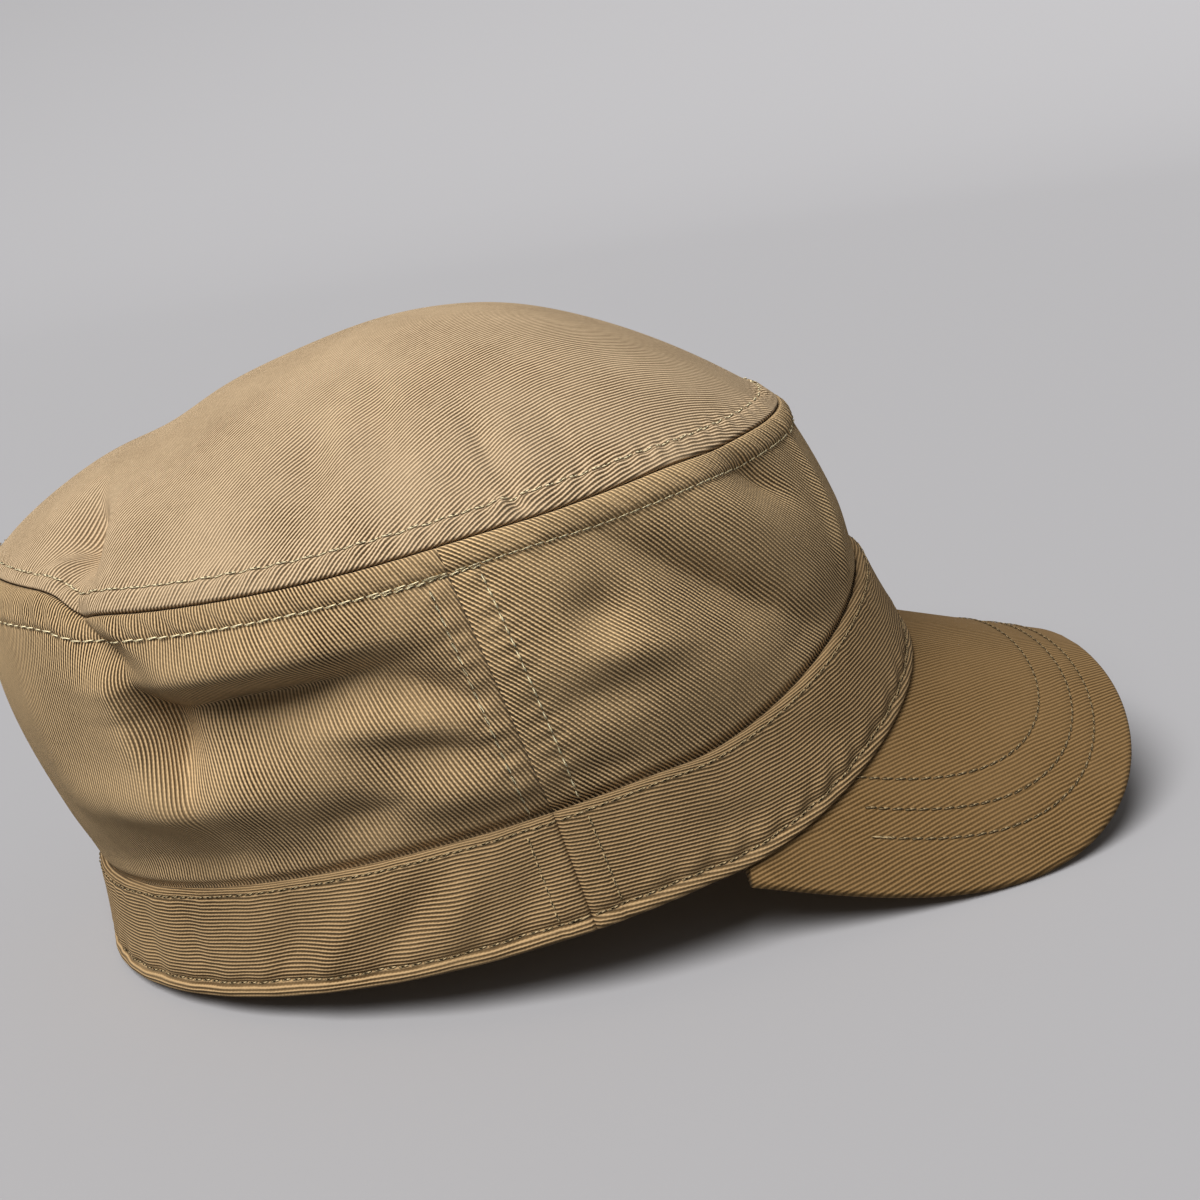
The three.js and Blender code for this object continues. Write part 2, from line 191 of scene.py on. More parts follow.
def fold_rise(table, angle, height):
    rise = np.zeros(np.broadcast(angle, height).shape)
    for fold_angle, fold_height, length, upper, lower, turn, size, roundness in table:
        away = angle - math.radians(fold_angle)
        across = np.arctan2(np.sin(away), np.cos(away)) * GIRTH_RADIUS
        up = height - fold_height
        c = math.cos(math.radians(turn))
        s = math.sin(math.radians(turn))
        along = (across * c + up * s) / length
        side = up * c - across * s
        spread = np.abs(side) / np.where(side > 0, upper, lower)
        rise = rise + size * np.exp(-along * along - spread ** roundness)
    return rise


def dent_rise(x, y):
    rise = np.zeros_like(x)
    for dent_x, dent_y, length, width, size in TOP_DENTS:
        along = (x - dent_x) / length
        side = (y - dent_y) / width
        rise = rise + size * np.exp(-along * along - side * side)
    return rise


print("folds:", len(CROWN_FOLDS), "on the crown,", len(BAND_FOLDS), "on the band")

# %% [markdown]
# ## Small waves
# Sewn cloth is never quite even. Two kinds of small wave are used all over:
# `unevenness`, a smooth row of random heights that closes on itself round the
# head, and `puckers`, the little waves that a tight line of stitches pulls in.
# Each line of stitches says how many puckers it has, how far they slant, how
# high they stand and where they are highest.
# The random numbers come from a fixed seed, so each run gives the same cap.

# %% Unevenness and puckers
FULL_TURN = 2 * math.pi
PUCKER_DRIFT = 1.6
PUCKER_SIZE = 0.65
PUCKER_SIZE_CHANGE = 0.35


def unevenness(angle, count, seed):
    """Smooth random heights from -1 to 1, with count places round the head."""
    heights = np.random.default_rng(seed).uniform(-1, 1, count)
    place = np.mod(angle, FULL_TURN) / FULL_TURN * count
    cell = np.floor(place).astype(int)
    t = place - cell
    t = t * t * (3 - 2 * t)
    low = heights[cell % count]
    high = heights[(cell + 1) % count]
    return low + (high - low) * t


def puckers(angle, count, seed):
    drift = PUCKER_DRIFT * unevenness(angle, count // 3, seed)
    size = PUCKER_SIZE + PUCKER_SIZE_CHANGE * unevenness(angle, count // 2, seed + 1)
    return size * np.sin(count * angle + drift)


def bump(distance, width):
    """A bell curve: 1 in the middle of a line, fading over its width."""
    return np.exp(-(distance / width) ** 2)


def row_puckers(kind, angle, height, away):
    """The puckers of one row of stitches. away is the distance that they fade over."""
    slanted = angle + kind["slant"] * height / GIRTH_RADIUS
    waves = kind["size"] * puckers(slanted, kind["count"], kind["seed"])
    return waves * bump(away - kind["middle"], kind["width"])


# %% [markdown]
# ## The crown
# The crown's smooth wall and dome meet at the top seam. Their normal carries
# the folds, so a fold pushes straight out of the cloth. On top of that comes
# the relief of the seams: a groove where two panels meet, a padded welt under
# it where the turned-in edges lie, and a shallow line under each row of
# stitches.

# %% Crown base and its normal
NORMAL_STEP_ANGLE = 0.02
NORMAL_STEP_LENGTH = 3.0


def wall_base(angle, v):
    low_x, low_y = oval_point(BAND_TOP_OVAL, angle)
    high_x, high_y = oval_point(SEAM_OVAL, angle)
    start = rim_height(*oval_point(RIM_OVAL, angle), angle) + around(BAND_HEIGHT, angle)
    end = around(SEAM_HEIGHT, angle)
    arc = np.sin(math.pi * np.clip(v, 0, 1) ** around(WALL_SKEW, angle))
    bulge = around(WALL_BULGE, angle) * np.maximum(arc, 0) ** WALL_ROUNDNESS
    x = low_x + (high_x - low_x) * v - bulge * np.sin(angle)
    y = low_y + (high_y - low_y) * v - bulge * np.cos(angle)
    return np.stack([x, y, start + (end - start) * v], axis=-1)


def top_base(angle, reach):
    edge_x, edge_y = oval_point(SEAM_OVAL, angle)
    start = around(SEAM_HEIGHT, angle)
    reach = np.clip(reach, 0, 1)
    fall = 1 - reach ** around(DOME_POWER, angle)
    dome = fall ** around(DOME_SHOULDER, angle)
    x = edge_x * reach
    y = edge_y * reach
    dent = dent_rise(x, y) * np.minimum((1 - reach) * DENT_FADE, 1)
    return np.stack([x, y, start + (APEX_HEIGHT - start) * dome + dent], axis=-1)


def crown_base(angle, s):
    wall = wall_base(angle, 1 + np.minimum(s, 0) / around(WALL_LENGTH, angle))
    top = top_base(angle, 1 - np.maximum(s, 0) / TOP_LENGTH)
    return np.where((s <= 0)[..., None], wall, top)


NEAR_SEAM = 12.0
NEAR_ANGLES = np.linspace(0, FULL_TURN, 181)
NEAR_STEPS = np.linspace(0, NEAR_SEAM, 61)


def measure_near_seam():
    """Lengths along the top panel from its seam, for each angle and each step."""
    line = crown_base(*np.meshgrid(NEAR_ANGLES, NEAR_STEPS, indexing="ij"))
    runs = np.cumsum(np.linalg.norm(np.diff(line, axis=1), axis=-1), axis=1)
    return np.concatenate([np.zeros((len(NEAR_ANGLES), 1)), runs], axis=1)


NEAR_LENGTHS = measure_near_seam()


def from_seam(angle, s):
    """Real distance from the top seam along the cloth, positive on the top panel."""
    column = np.mod(angle, FULL_TURN) / FULL_TURN * (len(NEAR_ANGLES) - 1)
    row = np.clip(s / NEAR_SEAM, 0, 1) * (len(NEAR_STEPS) - 1)
    i = np.minimum(column.astype(int), len(NEAR_ANGLES) - 2)
    j = np.minimum(row.astype(int), len(NEAR_STEPS) - 2)
    a = column - i
    b = row - j
    low = NEAR_LENGTHS[i, j] * (1 - a) + NEAR_LENGTHS[i + 1, j] * a
    high = NEAR_LENGTHS[i, j + 1] * (1 - a) + NEAR_LENGTHS[i + 1, j + 1] * a
    return np.where(s > 0, low + (high - low) * b + np.maximum(s - NEAR_SEAM, 0), s)


def height_at(angle, distance):
    """The address on the top panel that lies at a real distance from its seam."""
    columns = [np.interp(distance, lengths, NEAR_STEPS) for lengths in NEAR_LENGTHS]
    return np.interp(np.mod(angle, FULL_TURN), NEAR_ANGLES, columns)


def unit(vectors):
    return vectors / np.linalg.norm(vectors, axis=-1, keepdims=True)


def crown_normal(angle, s):
    ahead = crown_base(angle + NORMAL_STEP_ANGLE, s)
    behind = crown_base(angle - NORMAL_STEP_ANGLE, s)
    above = crown_base(angle, s + NORMAL_STEP_LENGTH)
    below = crown_base(angle, s - NORMAL_STEP_LENGTH)
    at_pole = s > TOP_LENGTH - 1
    normal = np.cross(above - below, ahead - behind)
    normal[at_pole] = (0, 0, 1)
    return unit(normal)


# %% Relief of the crown's seams
ROW_OFFSET = 5.0
WELT_RISE = 0.9
WELT_MIDDLE = 2.5
WELT_HALF_WIDTH = 2.7
UPPER_RISE = 0.55
UPPER_START = (0, 0.5)
UPPER_END = (4.4, 5.6)
SEAM_GROOVE = 0.8
SEAM_GROOVE_WIDTH = 0.2
ROW_GROOVE = 0.2
ROW_GROOVE_WIDTH = 0.55
UPPER_PUCKERS = {"count": 104, "seed": 3, "slant": 0.55, "size": 0.4, "middle": 4.6, "width": 2.6}
LOWER_PUCKERS = {"count": 113, "seed": 7, "slant": -0.7, "size": 0.45, "middle": 3.4, "width": 2.4}
SIDE_RISE = 0.3
SIDE_EDGE = (-0.7, 0.6)
SIDE_GROOVE = 0.12
SIDE_GROOVE_WIDTH = 0.25
SIDE_ROW_GROOVE = 0.22
SIDE_ROW_WIDTH = 0.5
SIDE_TOP_FADE = (-5.2, -6.6)
REAR_SIDE_ROW = 3.9
FRONT_SIDE_ROW = 5.2
# The cloth is pinched between the stitches of a side seam, in uneven waves
PINCH = {
    "size": 0.2, "wave": 1.35, "drift": 1.2, "drift_wave": 0.31,
    "lean": 0.25, "inset": 0.6, "width": 2.6,
}
# The wall turns in over its last millimetres, where the band covers it
TUCK_RUN = 2.0
TUCK_INSET = 1.1
LEAN_RUN = 16.0
LEAN_INSET = (1.4, 1.3, 0.9)
FOLD_FADE = 7.5
TUCK_DEPTH = 6.0
# Columns: angle, height over the top seam, half width, rise
SEAM_KNOTS = (
    (76.6, 2.6, 1.3, -1.3),
    (78.6, 3.1, 1.7, 1.2),
    (75.2, 3.4, 1.6, 0.8),
    (77.5, -5.2, 1.3, 0.4),
)


def top_seam_relief(angle, s):
    away = np.abs(from_seam(angle, s))
    welt = WELT_RISE * np.sqrt(np.clip(1 - ((away - WELT_MIDDLE) / WELT_HALF_WIDTH) ** 2, 0, 1))
    flat = UPPER_RISE * smooth(*UPPER_START, away) * (1 - smooth(*UPPER_END, away))
    rise = np.where(s > 0, flat, welt)
    rise = rise - SEAM_GROOVE * bump(away, SEAM_GROOVE_WIDTH)
    rise = rise - ROW_GROOVE * bump(away - ROW_OFFSET, ROW_GROOVE_WIDTH)
    upper = row_puckers(UPPER_PUCKERS, angle, s, away)
    lower = row_puckers(LOWER_PUCKERS, angle, s, away)
    return rise + np.where(s > 0, upper, lower)


def side_seam_relief(angle, s):
    away = (from_brow(angle) - SIDE_SEAM) * GIRTH_RADIUS
    row = np.where(away > 0, REAR_SIDE_ROW, FRONT_SIDE_ROW)
    wide = np.abs(away)
    strip = SIDE_RISE * (1 - smooth(row + SIDE_EDGE[0], row + SIDE_EDGE[1], wide))
    rows = SIDE_ROW_GROOVE * bump(wide - row, SIDE_ROW_WIDTH)
    drift = PINCH["drift"] * np.sin(s * PINCH["drift_wave"])
    waves = PINCH["size"] * np.sin(s * PINCH["wave"] + drift + away * PINCH["lean"])
    pinch = waves * bump(wide - row + PINCH["inset"], PINCH["width"])
    rise = strip - rows - SIDE_GROOVE * bump(wide, SIDE_GROOVE_WIDTH) + pinch
    return rise * smooth(*SIDE_TOP_FADE, s)


def knot_relief(angle, s):
    rise = np.zeros(np.broadcast(angle, s).shape)
    for knot_angle, height, width, size in SEAM_KNOTS:
        across = (angle - math.radians(knot_angle)) * GIRTH_RADIUS
        rise = rise + size * bump(np.hypot(across, s - height), width)
    return rise


# Columns: angle and height of the middle, half length round the head, on the
# brow's side and on the rear side, half length up the cloth, slip up the cloth
SEAM_SLIPS = (
    (172, 0, 46, 60, 26, 2.8),
)
# A slip ends sharply towards the brow and dies away softly towards the rear
SLIP_STEEPNESS = 14
SLIP_SOFTNESS = 2


def slip(angle, s):
    """How far the cloth has slipped up at a place, which bends the seam."""
    shift = np.zeros(np.broadcast(angle, s).shape)
    for middle, height, ahead, behind, tall, size in SEAM_SLIPS:
        away = angle - math.radians(middle)
        across = np.arctan2(np.sin(away), np.cos(away)) * GIRTH_RADIUS
        side = np.abs(across) / np.where(across > 0, behind, ahead)
        power = np.where(across > 0, SLIP_SOFTNESS, SLIP_STEEPNESS)
        shift = shift + size * np.exp(-side ** power - ((s - height) / tall) ** 2)
    return shift


def crown_place(angle, s, fold_share=1.0):
    above = s + around(WALL_LENGTH, angle)
    out = (fold_rise(CROWN_FOLDS, angle, s) * fold_share + top_seam_relief(angle, s)
           + side_seam_relief(angle, s) + knot_relief(angle, s)) * smooth(0, FOLD_FADE, above)
    out = out - TUCK_INSET * (1 - smooth(0, TUCK_RUN, above))
    out = out - around(LEAN_INSET, angle) * (1 - smooth(0, LEAN_RUN, above))
    s = s + slip(angle, s)
    return crown_base(angle, s) + crown_normal(angle, s) * out[..., None]


# %% [markdown]
# ## The headband
# The band is a strip of twill folded double. Its top edge is a plain fold with
# a row of stitches close under it. At the rim the cloth rolls round an edge of
# about 3 mm and is stitched down in a groove. A closed section carried round
# the head gives it both round edges.

# %% Band base and relief
BAND_CLOTH = 2.2
ROLL_HEIGHT = 3.2
ROLL_MIDDLE = 1.5
ROLL_HALF_HEIGHT = 1.75
# Each pair is the value at the brow, and what the turn towards the rear adds
REARWARD = (0.5, 2.0)
ROLL_RISE = (0.35, 0.4)
ROLL_GROOVE = (0.35, 0.3)
ROLL_GROOVE_WIDTH = (0.9, -0.35)
BODY_RISE = 0.4
BODY_RUN = 3
TOP_ROW_DROP = 1.25
TOP_ROW_GROOVE = 0.3
TOP_ROW_WIDTH = 0.45
LOW_PUCKERS = {"count": 66, "seed": 21, "slant": 0.5, "size": 0.32, "middle": 5.2, "width": 2.8}
HIGH_PUCKERS = {"count": 96, "seed": 25, "slant": 0, "size": 0.12, "middle": -3, "width": 2}
BAND_ROW_OFFSET = 5.5
BAND_STRIP_RISE = 0.3
BAND_STRIP_EDGE = 0.6
BAND_SEAM_GROOVE = 0.6
BAND_SEAM_WIDTH = 0.45
BAND_SIDE_ROW_GROOVE = 0.25
LOOSE = {"count": 26, "seed": 31, "slant": 0.6, "size": 0.35}


def rearward_value(pair, share):
    return pair[0] + pair[1] * share


def band_seam_relief(angle):
    """The padded strip at a side seam of the band, with its grooves."""
    away = (from_brow(angle) - SIDE_SEAM) * GIRTH_RADIUS
    wide = np.abs(away)
    low, high = BAND_ROW_OFFSET - BAND_STRIP_EDGE, BAND_ROW_OFFSET + BAND_STRIP_EDGE
    strip = BAND_STRIP_RISE * (1 - smooth(low, high, wide))
    rows = BAND_SIDE_ROW_GROOVE * bump(wide - BAND_ROW_OFFSET, SIDE_ROW_WIDTH)
    return strip - (BAND_SEAM_GROOVE * bump(away, BAND_SEAM_WIDTH) + rows)


def band_relief(angle, height, tall):
    middle = np.sqrt(np.clip(np.sin(math.pi * np.clip(height / tall, 0, 1)), 0, 1))
    share = smooth(*REARWARD, from_brow(angle))
    round_edge = np.sqrt(np.clip(1 - ((height - ROLL_MIDDLE) / ROLL_HALF_HEIGHT) ** 2, 0, 1))
    roll = rearward_value(ROLL_RISE, share) * round_edge
    groove_width = rearward_value(ROLL_GROOVE_WIDTH, share)
    groove = rearward_value(ROLL_GROOVE, share) * bump(height - ROLL_HEIGHT, groove_width)
    body = BODY_RISE * smooth(ROLL_HEIGHT, ROLL_HEIGHT + BODY_RUN, height)
    top_row = TOP_ROW_GROOVE * bump(height - tall + TOP_ROW_DROP, TOP_ROW_WIDTH)
    low = row_puckers(LOW_PUCKERS, angle, height, height)
    high = row_puckers(HIGH_PUCKERS, angle, height, height - tall)
    slanted = angle + LOOSE["slant"] * height / GIRTH_RADIUS
    loose = LOOSE["size"] * unevenness(slanted, LOOSE["count"], LOOSE["seed"])
    cloth = (fold_rise(BAND_FOLDS, angle, height) + loose) * middle
    return cloth + roll - groove + body - top_row + low + high + band_seam_relief(angle)


def band_place(angle, height, depth):
    """height runs up the cloth from the rim, depth goes into the band."""
    tall = around(BAND_HEIGHT, angle)
    v = height / tall
    low_x, low_y = oval_point(RIM_OVAL, angle)
    high_x, high_y = oval_point(BAND_TOP_OVAL, angle)
    showing = np.clip(1 - depth / (BAND_CLOTH / 2), 0, 1)
    out = band_relief(angle, height, tall) * showing - depth
    x = low_x + (high_x - low_x) * v - out * np.sin(angle)
    y = low_y + (high_y - low_y) * v - out * np.cos(angle)
    start = rim_height(low_x, low_y, angle)
    inner = rim_height(low_x + depth * np.sin(angle), low_y + depth * np.cos(angle), angle)
    lift = (inner - start) * (1 - v)
    return np.stack([x, y, start + lift + height], axis=-1)


# %% [markdown]
# ## The peak
# The peak is cut flat and bent round one cylinder that slopes forward and
# down, so each place of it has a simple flat address: s to the side and t
# forward. Three rows of stitches follow its outline, each on a blunt oval, and
# each draws the cloth down a little.

# %% Peak base and relief
PEAK_HALF_WIDTH = 95.2
PEAK_REACH = 96.8
PEAK_REAR = -49.1
PEAK_SQUARENESS = 3.2
PEAK_CORNER = math.radians(68)
PEAK_GAP = 0.4
PEAK_THICKNESS = 3.0
PEAK_ROW_GROOVE = 0.16
# Columns: half width, reach, rear end
PEAK_ROWS = (
    (82.3, 79.0, -40.0),
    (75.7, 74.5, -40.0),
    (68.6, 67.0, -40.0),
)


def peak_sheet(s, t, depth):
    turn = s / PEAK_BEND_RADIUS
    radius = PEAK_BEND_RADIUS - depth
    drop = PEAK_BEND_RADIUS - radius * np.cos(turn)
    y = PEAK_START - t * math.cos(PEAK_SLOPE) + drop * math.sin(PEAK_SLOPE)
    z = PEAK_HEIGHT - t * math.sin(PEAK_SLOPE) - drop * math.cos(PEAK_SLOPE)
    return np.stack([radius * np.sin(turn), y, z], axis=-1)


def peak_inner(angle, inset):
    rim_x, rim_y = oval_point(RIM_OVAL, angle)
    x = rim_x + inset * np.sin(angle)
    y = rim_y + inset * np.cos(angle)
    turn = np.arcsin(x / PEAK_BEND_RADIUS)
    drop = PEAK_BEND_RADIUS * (1 - np.cos(turn))
    t = (PEAK_START - y + drop * math.sin(PEAK_SLOPE)) / math.cos(PEAK_SLOPE)
    return PEAK_BEND_RADIUS * turn, t


def blunt_oval(half, reach, rear, u):
    """A place of a blunt half oval, for u from -1 to 1."""
    turn = (u + 1) / 2 * math.pi
    c = -np.cos(turn)
    power = 2 / PEAK_SQUARENESS
    s = half * np.sign(c) * np.abs(c) ** power
    t = rear + reach * np.maximum(np.sin(turn), 0) ** power
    return s, t


def peak_relief(s, t):
    rise = np.zeros_like(s)
    for half, reach, rear in PEAK_ROWS:
        size = (np.abs(s) / half) ** PEAK_SQUARENESS
        size = size + (np.maximum(t - rear, 0) / reach) ** PEAK_SQUARENESS
        away = (size ** (1 / PEAK_SQUARENESS) - 1) * half
        rise = rise - PEAK_ROW_GROOVE * bump(away, ROW_GROOVE_WIDTH)
    return rise


# %% [markdown]
# ## From the worn frame to the model's
# Off the head the cap tips back until the two sides of its peak and the rear of
# its rim stand on the table. One turn and one shift take each place there.

# %% Rest place
REST_TURN = math.radians(7.467)
REST_SHIFT = 14.674
REST_LIFT = 13.059


def turned(vectors):
    x, y, z = np.moveaxis(np.asarray(vectors, float), -1, 0)
    c = math.cos(REST_TURN)
    s = math.sin(REST_TURN)
    return np.stack([x, y * c + z * s, z * c - y * s], axis=-1)


def at_rest(places):
    """Places of the worn frame, in millimetres, as places of the model in metres."""
    return (turned(places) + (0, REST_SHIFT, REST_LIFT)) * MILLIMETRE


# %% [markdown]
# ## A flat cut for folded cloth
# The weave has to keep its scale on the steep side of a fold, so the flat cut
# can't be a plain projection. A net of threads finds it: the cut starts as a
# rough guess, and every thread of the net pushes or pulls its two ends until
# it is as long as on the cap. A coarse net settles first, because far ends
# hear of each other slowly, and finer nets follow. The folds are made a little
# shallower for this, because a net laid into the deepest ones crumples.

# %% Settle a net of threads
THREADS = ((1, 0), (0, 1), (1, 1), (1, -1))
PULL = 0.42


def settle(cut, places, rounds, closed):
    nets = []
    for across, up in THREADS:
        a = (slice(0, len(cut) - across), slice(max(-up, 0), cut.shape[1] - max(up, 0)))
        b = (slice(across, None), slice(max(up, 0), cut.shape[1] - max(-up, 0)))
        nets.append((a, b, np.linalg.norm(places[b] - places[a], axis=-1)))
    ends = np.zeros(cut.shape[:2])
    for a, b, length in nets:
        ends[a] += 1
        ends[b] += 1
    for turn in range(rounds):
        push = np.zeros_like(cut)
        for a, b, length in nets:
            run = cut[b] - cut[a]
            now = np.maximum(np.linalg.norm(run, axis=-1), 1e-6)
            step = run * ((1 - length / now) * PULL)[..., None]
            push[a] += step
            push[b] -= step
        cut = cut + push / ends[..., None] * 2
        if closed:
            cut[0] = cut[-1] = (cut[0] + cut[-1]) / 2
            cut[:, -1] = cut[:, -1].mean(axis=0)
    return cut


def every(count, step):
    return np.unique(np.append(np.arange(0, count, step), count - 1))


def regrid(cut, old_columns, old_rows, columns, rows):
    """The same cut, read at other grid lines."""
    sides = []
    for side in np.moveaxis(cut, -1, 0):
        wide = np.stack([np.interp(columns, old_columns, row) for row in side.T], axis=1)
        sides.append(np.stack([np.interp(rows, old_rows, column) for column in wide]))
    return np.stack(sides, axis=-1)


NET_LEVELS = ((6, 1200), (3, 400), (1, 60))


def settled_cut(columns, rows, place, guess, closed=False):
    """The flat cut of a panel, one place for each crossing of its grid lines."""
    cut = None
    for step, rounds in NET_LEVELS:
        across = every(len(columns), step)
        up = every(len(rows), step)
        angle, row = np.meshgrid(columns[across], rows[up], indexing="ij")
        if cut is None:
            cut = guess(angle, row)
        else:
            cut = regrid(cut, last[0], last[1], across, up)
        cut = settle(cut, place(angle, row), rounds, closed)
        last = (across, up)
    return cut


# %% [markdown]
# ## Cloth panels
# A panel starts as a flat grid from `create_grid`. Its two directions become
# the two addresses on the cap, and each vertex is moved to its place. The flat
# cut is kept as a UV map in millimetres, because a weave follows the cloth and
# not the room. Doubles are merged before the normals are worked out, and the
# thickness comes last.

# %% Panel maker
def lay_grid(columns, rows, place, cut):
    """A grid of cloth whose columns and rows are addresses on the cap, with its flat cut."""
    mesh = bmesh.new()
    bmesh.ops.create_grid(mesh, x_segments=len(columns) - 1, y_segments=len(rows) - 1, size=1)
    flat = np.array([vertex.co[:2] for vertex in mesh.verts])
    column = np.rint((flat[:, 0] + 1) / 2 * (len(columns) - 1)).astype(int)
    row = np.rint((flat[:, 1] + 1) / 2 * (len(rows) - 1)).astype(int)
    places = at_rest(place(columns[column], rows[row]))
    pattern = cut[column, row]
    layer = mesh.loops.layers.uv.new("cut")
    for face in mesh.faces:
        face.smooth = True
        for loop in face.loops:
            loop[layer].uv = pattern[loop.vert.index]
    for vertex, spot in zip(mesh.verts, places):
        vertex.co = spot
    return mesh


MERGE_DISTANCE = 1e-6


def close_up(mesh, centre):
    """Merge doubles and turn every face away from the centre."""
    bmesh.ops.remove_doubles(mesh, verts=mesh.verts, dist=MERGE_DISTANCE)
    bmesh.ops.recalc_face_normals(mesh, faces=mesh.faces)
    facing = sum((face.calc_center_median() - centre).dot(face.normal) for face in mesh.faces)
    if facing < 0:
        bmesh.ops.reverse_faces(mesh, faces=mesh.faces)


def close_ends(mesh):
    """Merge the seam of a tube, fill its two ends and turn its faces outwards."""
    bmesh.ops.remove_doubles(mesh, verts=mesh.verts, dist=MERGE_DISTANCE)
    open_edges = [edge for edge in mesh.edges if edge.is_boundary]
    bmesh.ops.holes_fill(mesh, edges=open_edges)
    bmesh.ops.recalc_face_normals(mesh, faces=mesh.faces)


def add_piece(name, mesh, material, nodes=()):
    data = bpy.data.meshes.new(name)
    mesh.to_mesh(data)
    mesh.free()
    piece = bpy.data.objects.new(name, data)
    bpy.context.collection.objects.link(piece)
    data.materials.append(material)
    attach(piece, "root")
    if nodes:
        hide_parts(*nodes)
    return piece


def spread(*stops):
    """Numbers from stop to stop. They are given as start, step, stop, step, stop..."""
    numbers = [stops[0]]
    for step, end in zip(stops[1::2], stops[2::2]):
        count = max(1, round(abs(end - numbers[-1]) / step))
        numbers.extend(np.linspace(numbers[-1], end, count + 1)[1:])
    return np.array(numbers)


# %% [markdown]
# ## Shader maths
# A weave is a sum written with sines and noises. Wrapping a socket in a small
# class lets Python's own signs add the Math nodes, so the formula can be read.

# %% Socket class
class Wire:
    def __init__(self, tree, socket=None):
        self.tree = tree
        self.socket = socket

    def add(self, kind, settings, inputs, output=0):
        """Add a node: its settings come first, then the values or links of its sockets."""
        node = self.tree.nodes.new(kind)
        for name, value in settings.items():
            setattr(node, name, value)
        self.feed(node, inputs)
        return Wire(self.tree, node.outputs[output])

    def feed(self, node, inputs):
        for name, value in inputs.items():
            if isinstance(value, Wire):
                self.tree.links.new(value.socket, node.inputs[name])
            else:
                node.inputs[name].default_value = value

    def math(self, operation, *values):
        return self.add("ShaderNodeMath", {"operation": operation}, dict(enumerate(values)))

    def __add__(self, other):
        return self.math("ADD", self, other)

    def __sub__(self, other):
        return self.math("SUBTRACT", self, other)

    def __rsub__(self, other):
        return self.math("SUBTRACT", other, self)

    def __mul__(self, other):
        return self.math("MULTIPLY", self, other)

    __radd__ = __add__
    __rmul__ = __mul__


print("shader maths ready")

# %% [markdown]
# ## Twill
# Twill is woven so that fine ridges, the wales, run slantwise over the cloth.
# Here they are about 0.8 mm apart. The formula turns the flat cut until one axis runs
# along the wales, bends it a little with noise, and takes a sine across. Pale
# ridges and furrows darkened with painted shade give the colour, the same sine gives the bump, and
# slow noises add worn and dirty patches. Each panel has its own direction.

# %% Twill finish
NOISE_ROUGHNESS = 0.55
FLOAT_PITCH = 0.85
FLOAT_SHIFT = 0.5
BEND_SCALE = 0.06
BEND_SIZE = 1.2
THREAD_STRETCH = (0.3, 1.0, 1.0)
SLUB_SCALE = 2.4
WANDER_SCALE = 0.9
WANDER_SIZE = 1.1
FIBRE_SCALE = 6.0
WEAR_SCALE = 0.035
WEAR_RANGE = {"From Min": 0.35, "From Max": 0.68, "To Min": 0.0, "To Max": 0.5}
WORN_SHADE = 0.84
SPECKLE_SCALE = 5.0
SPECKLE_LOW = 0.86
SPECKLE_SIZE = 0.28
# How much each layer of the weave shows in the relief and in the colour
RELIEF = {"wale": 0.8, "float": 0.14, "slub": 0.25, "fibre": 0.1}
PALE = {"slub": 0.6, "float": 0.2}
PALE_RANGE = {"From Min": 0.08, "From Max": 0.86}
RIDGE_SHINE = 0.08
SHEEN_TINT = (1.0, 0.86, 0.66, 1.0)


def noise(wire, vector, scale, detail=2.0, output=0):
    inputs = {"Vector": vector, "Scale": scale, "Detail": detail, "Roughness": NOISE_ROUGHNESS}
    return wire.add("ShaderNodeTexNoise", {}, inputs, output)


def vector_math(wire, operation, inputs):
    return wire.add("ShaderNodeVectorMath", {"operation": operation}, inputs)


def mapping(wire, inputs):
    return wire.add("ShaderNodeMapping", {"vector_type": "POINT"}, inputs)


def mix_colors(wire, factor, first, second):
    settings = {"data_type": "RGBA", "blend_type": "MIX", "clamp_result": True}
    inputs = {0: factor, 6: first, 7: second}
    return wire.add("ShaderNodeMix", settings, inputs, 2)


def wave(wire, phase):
    """A sine that runs from 0 to 1."""
    return wire.math("SINE", phase) * 0.5 + 0.5


def new_material(name):
    material = bpy.data.materials.new(name)
    material.use_nodes = True
    return material, material.node_tree.nodes["Principled BSDF"]


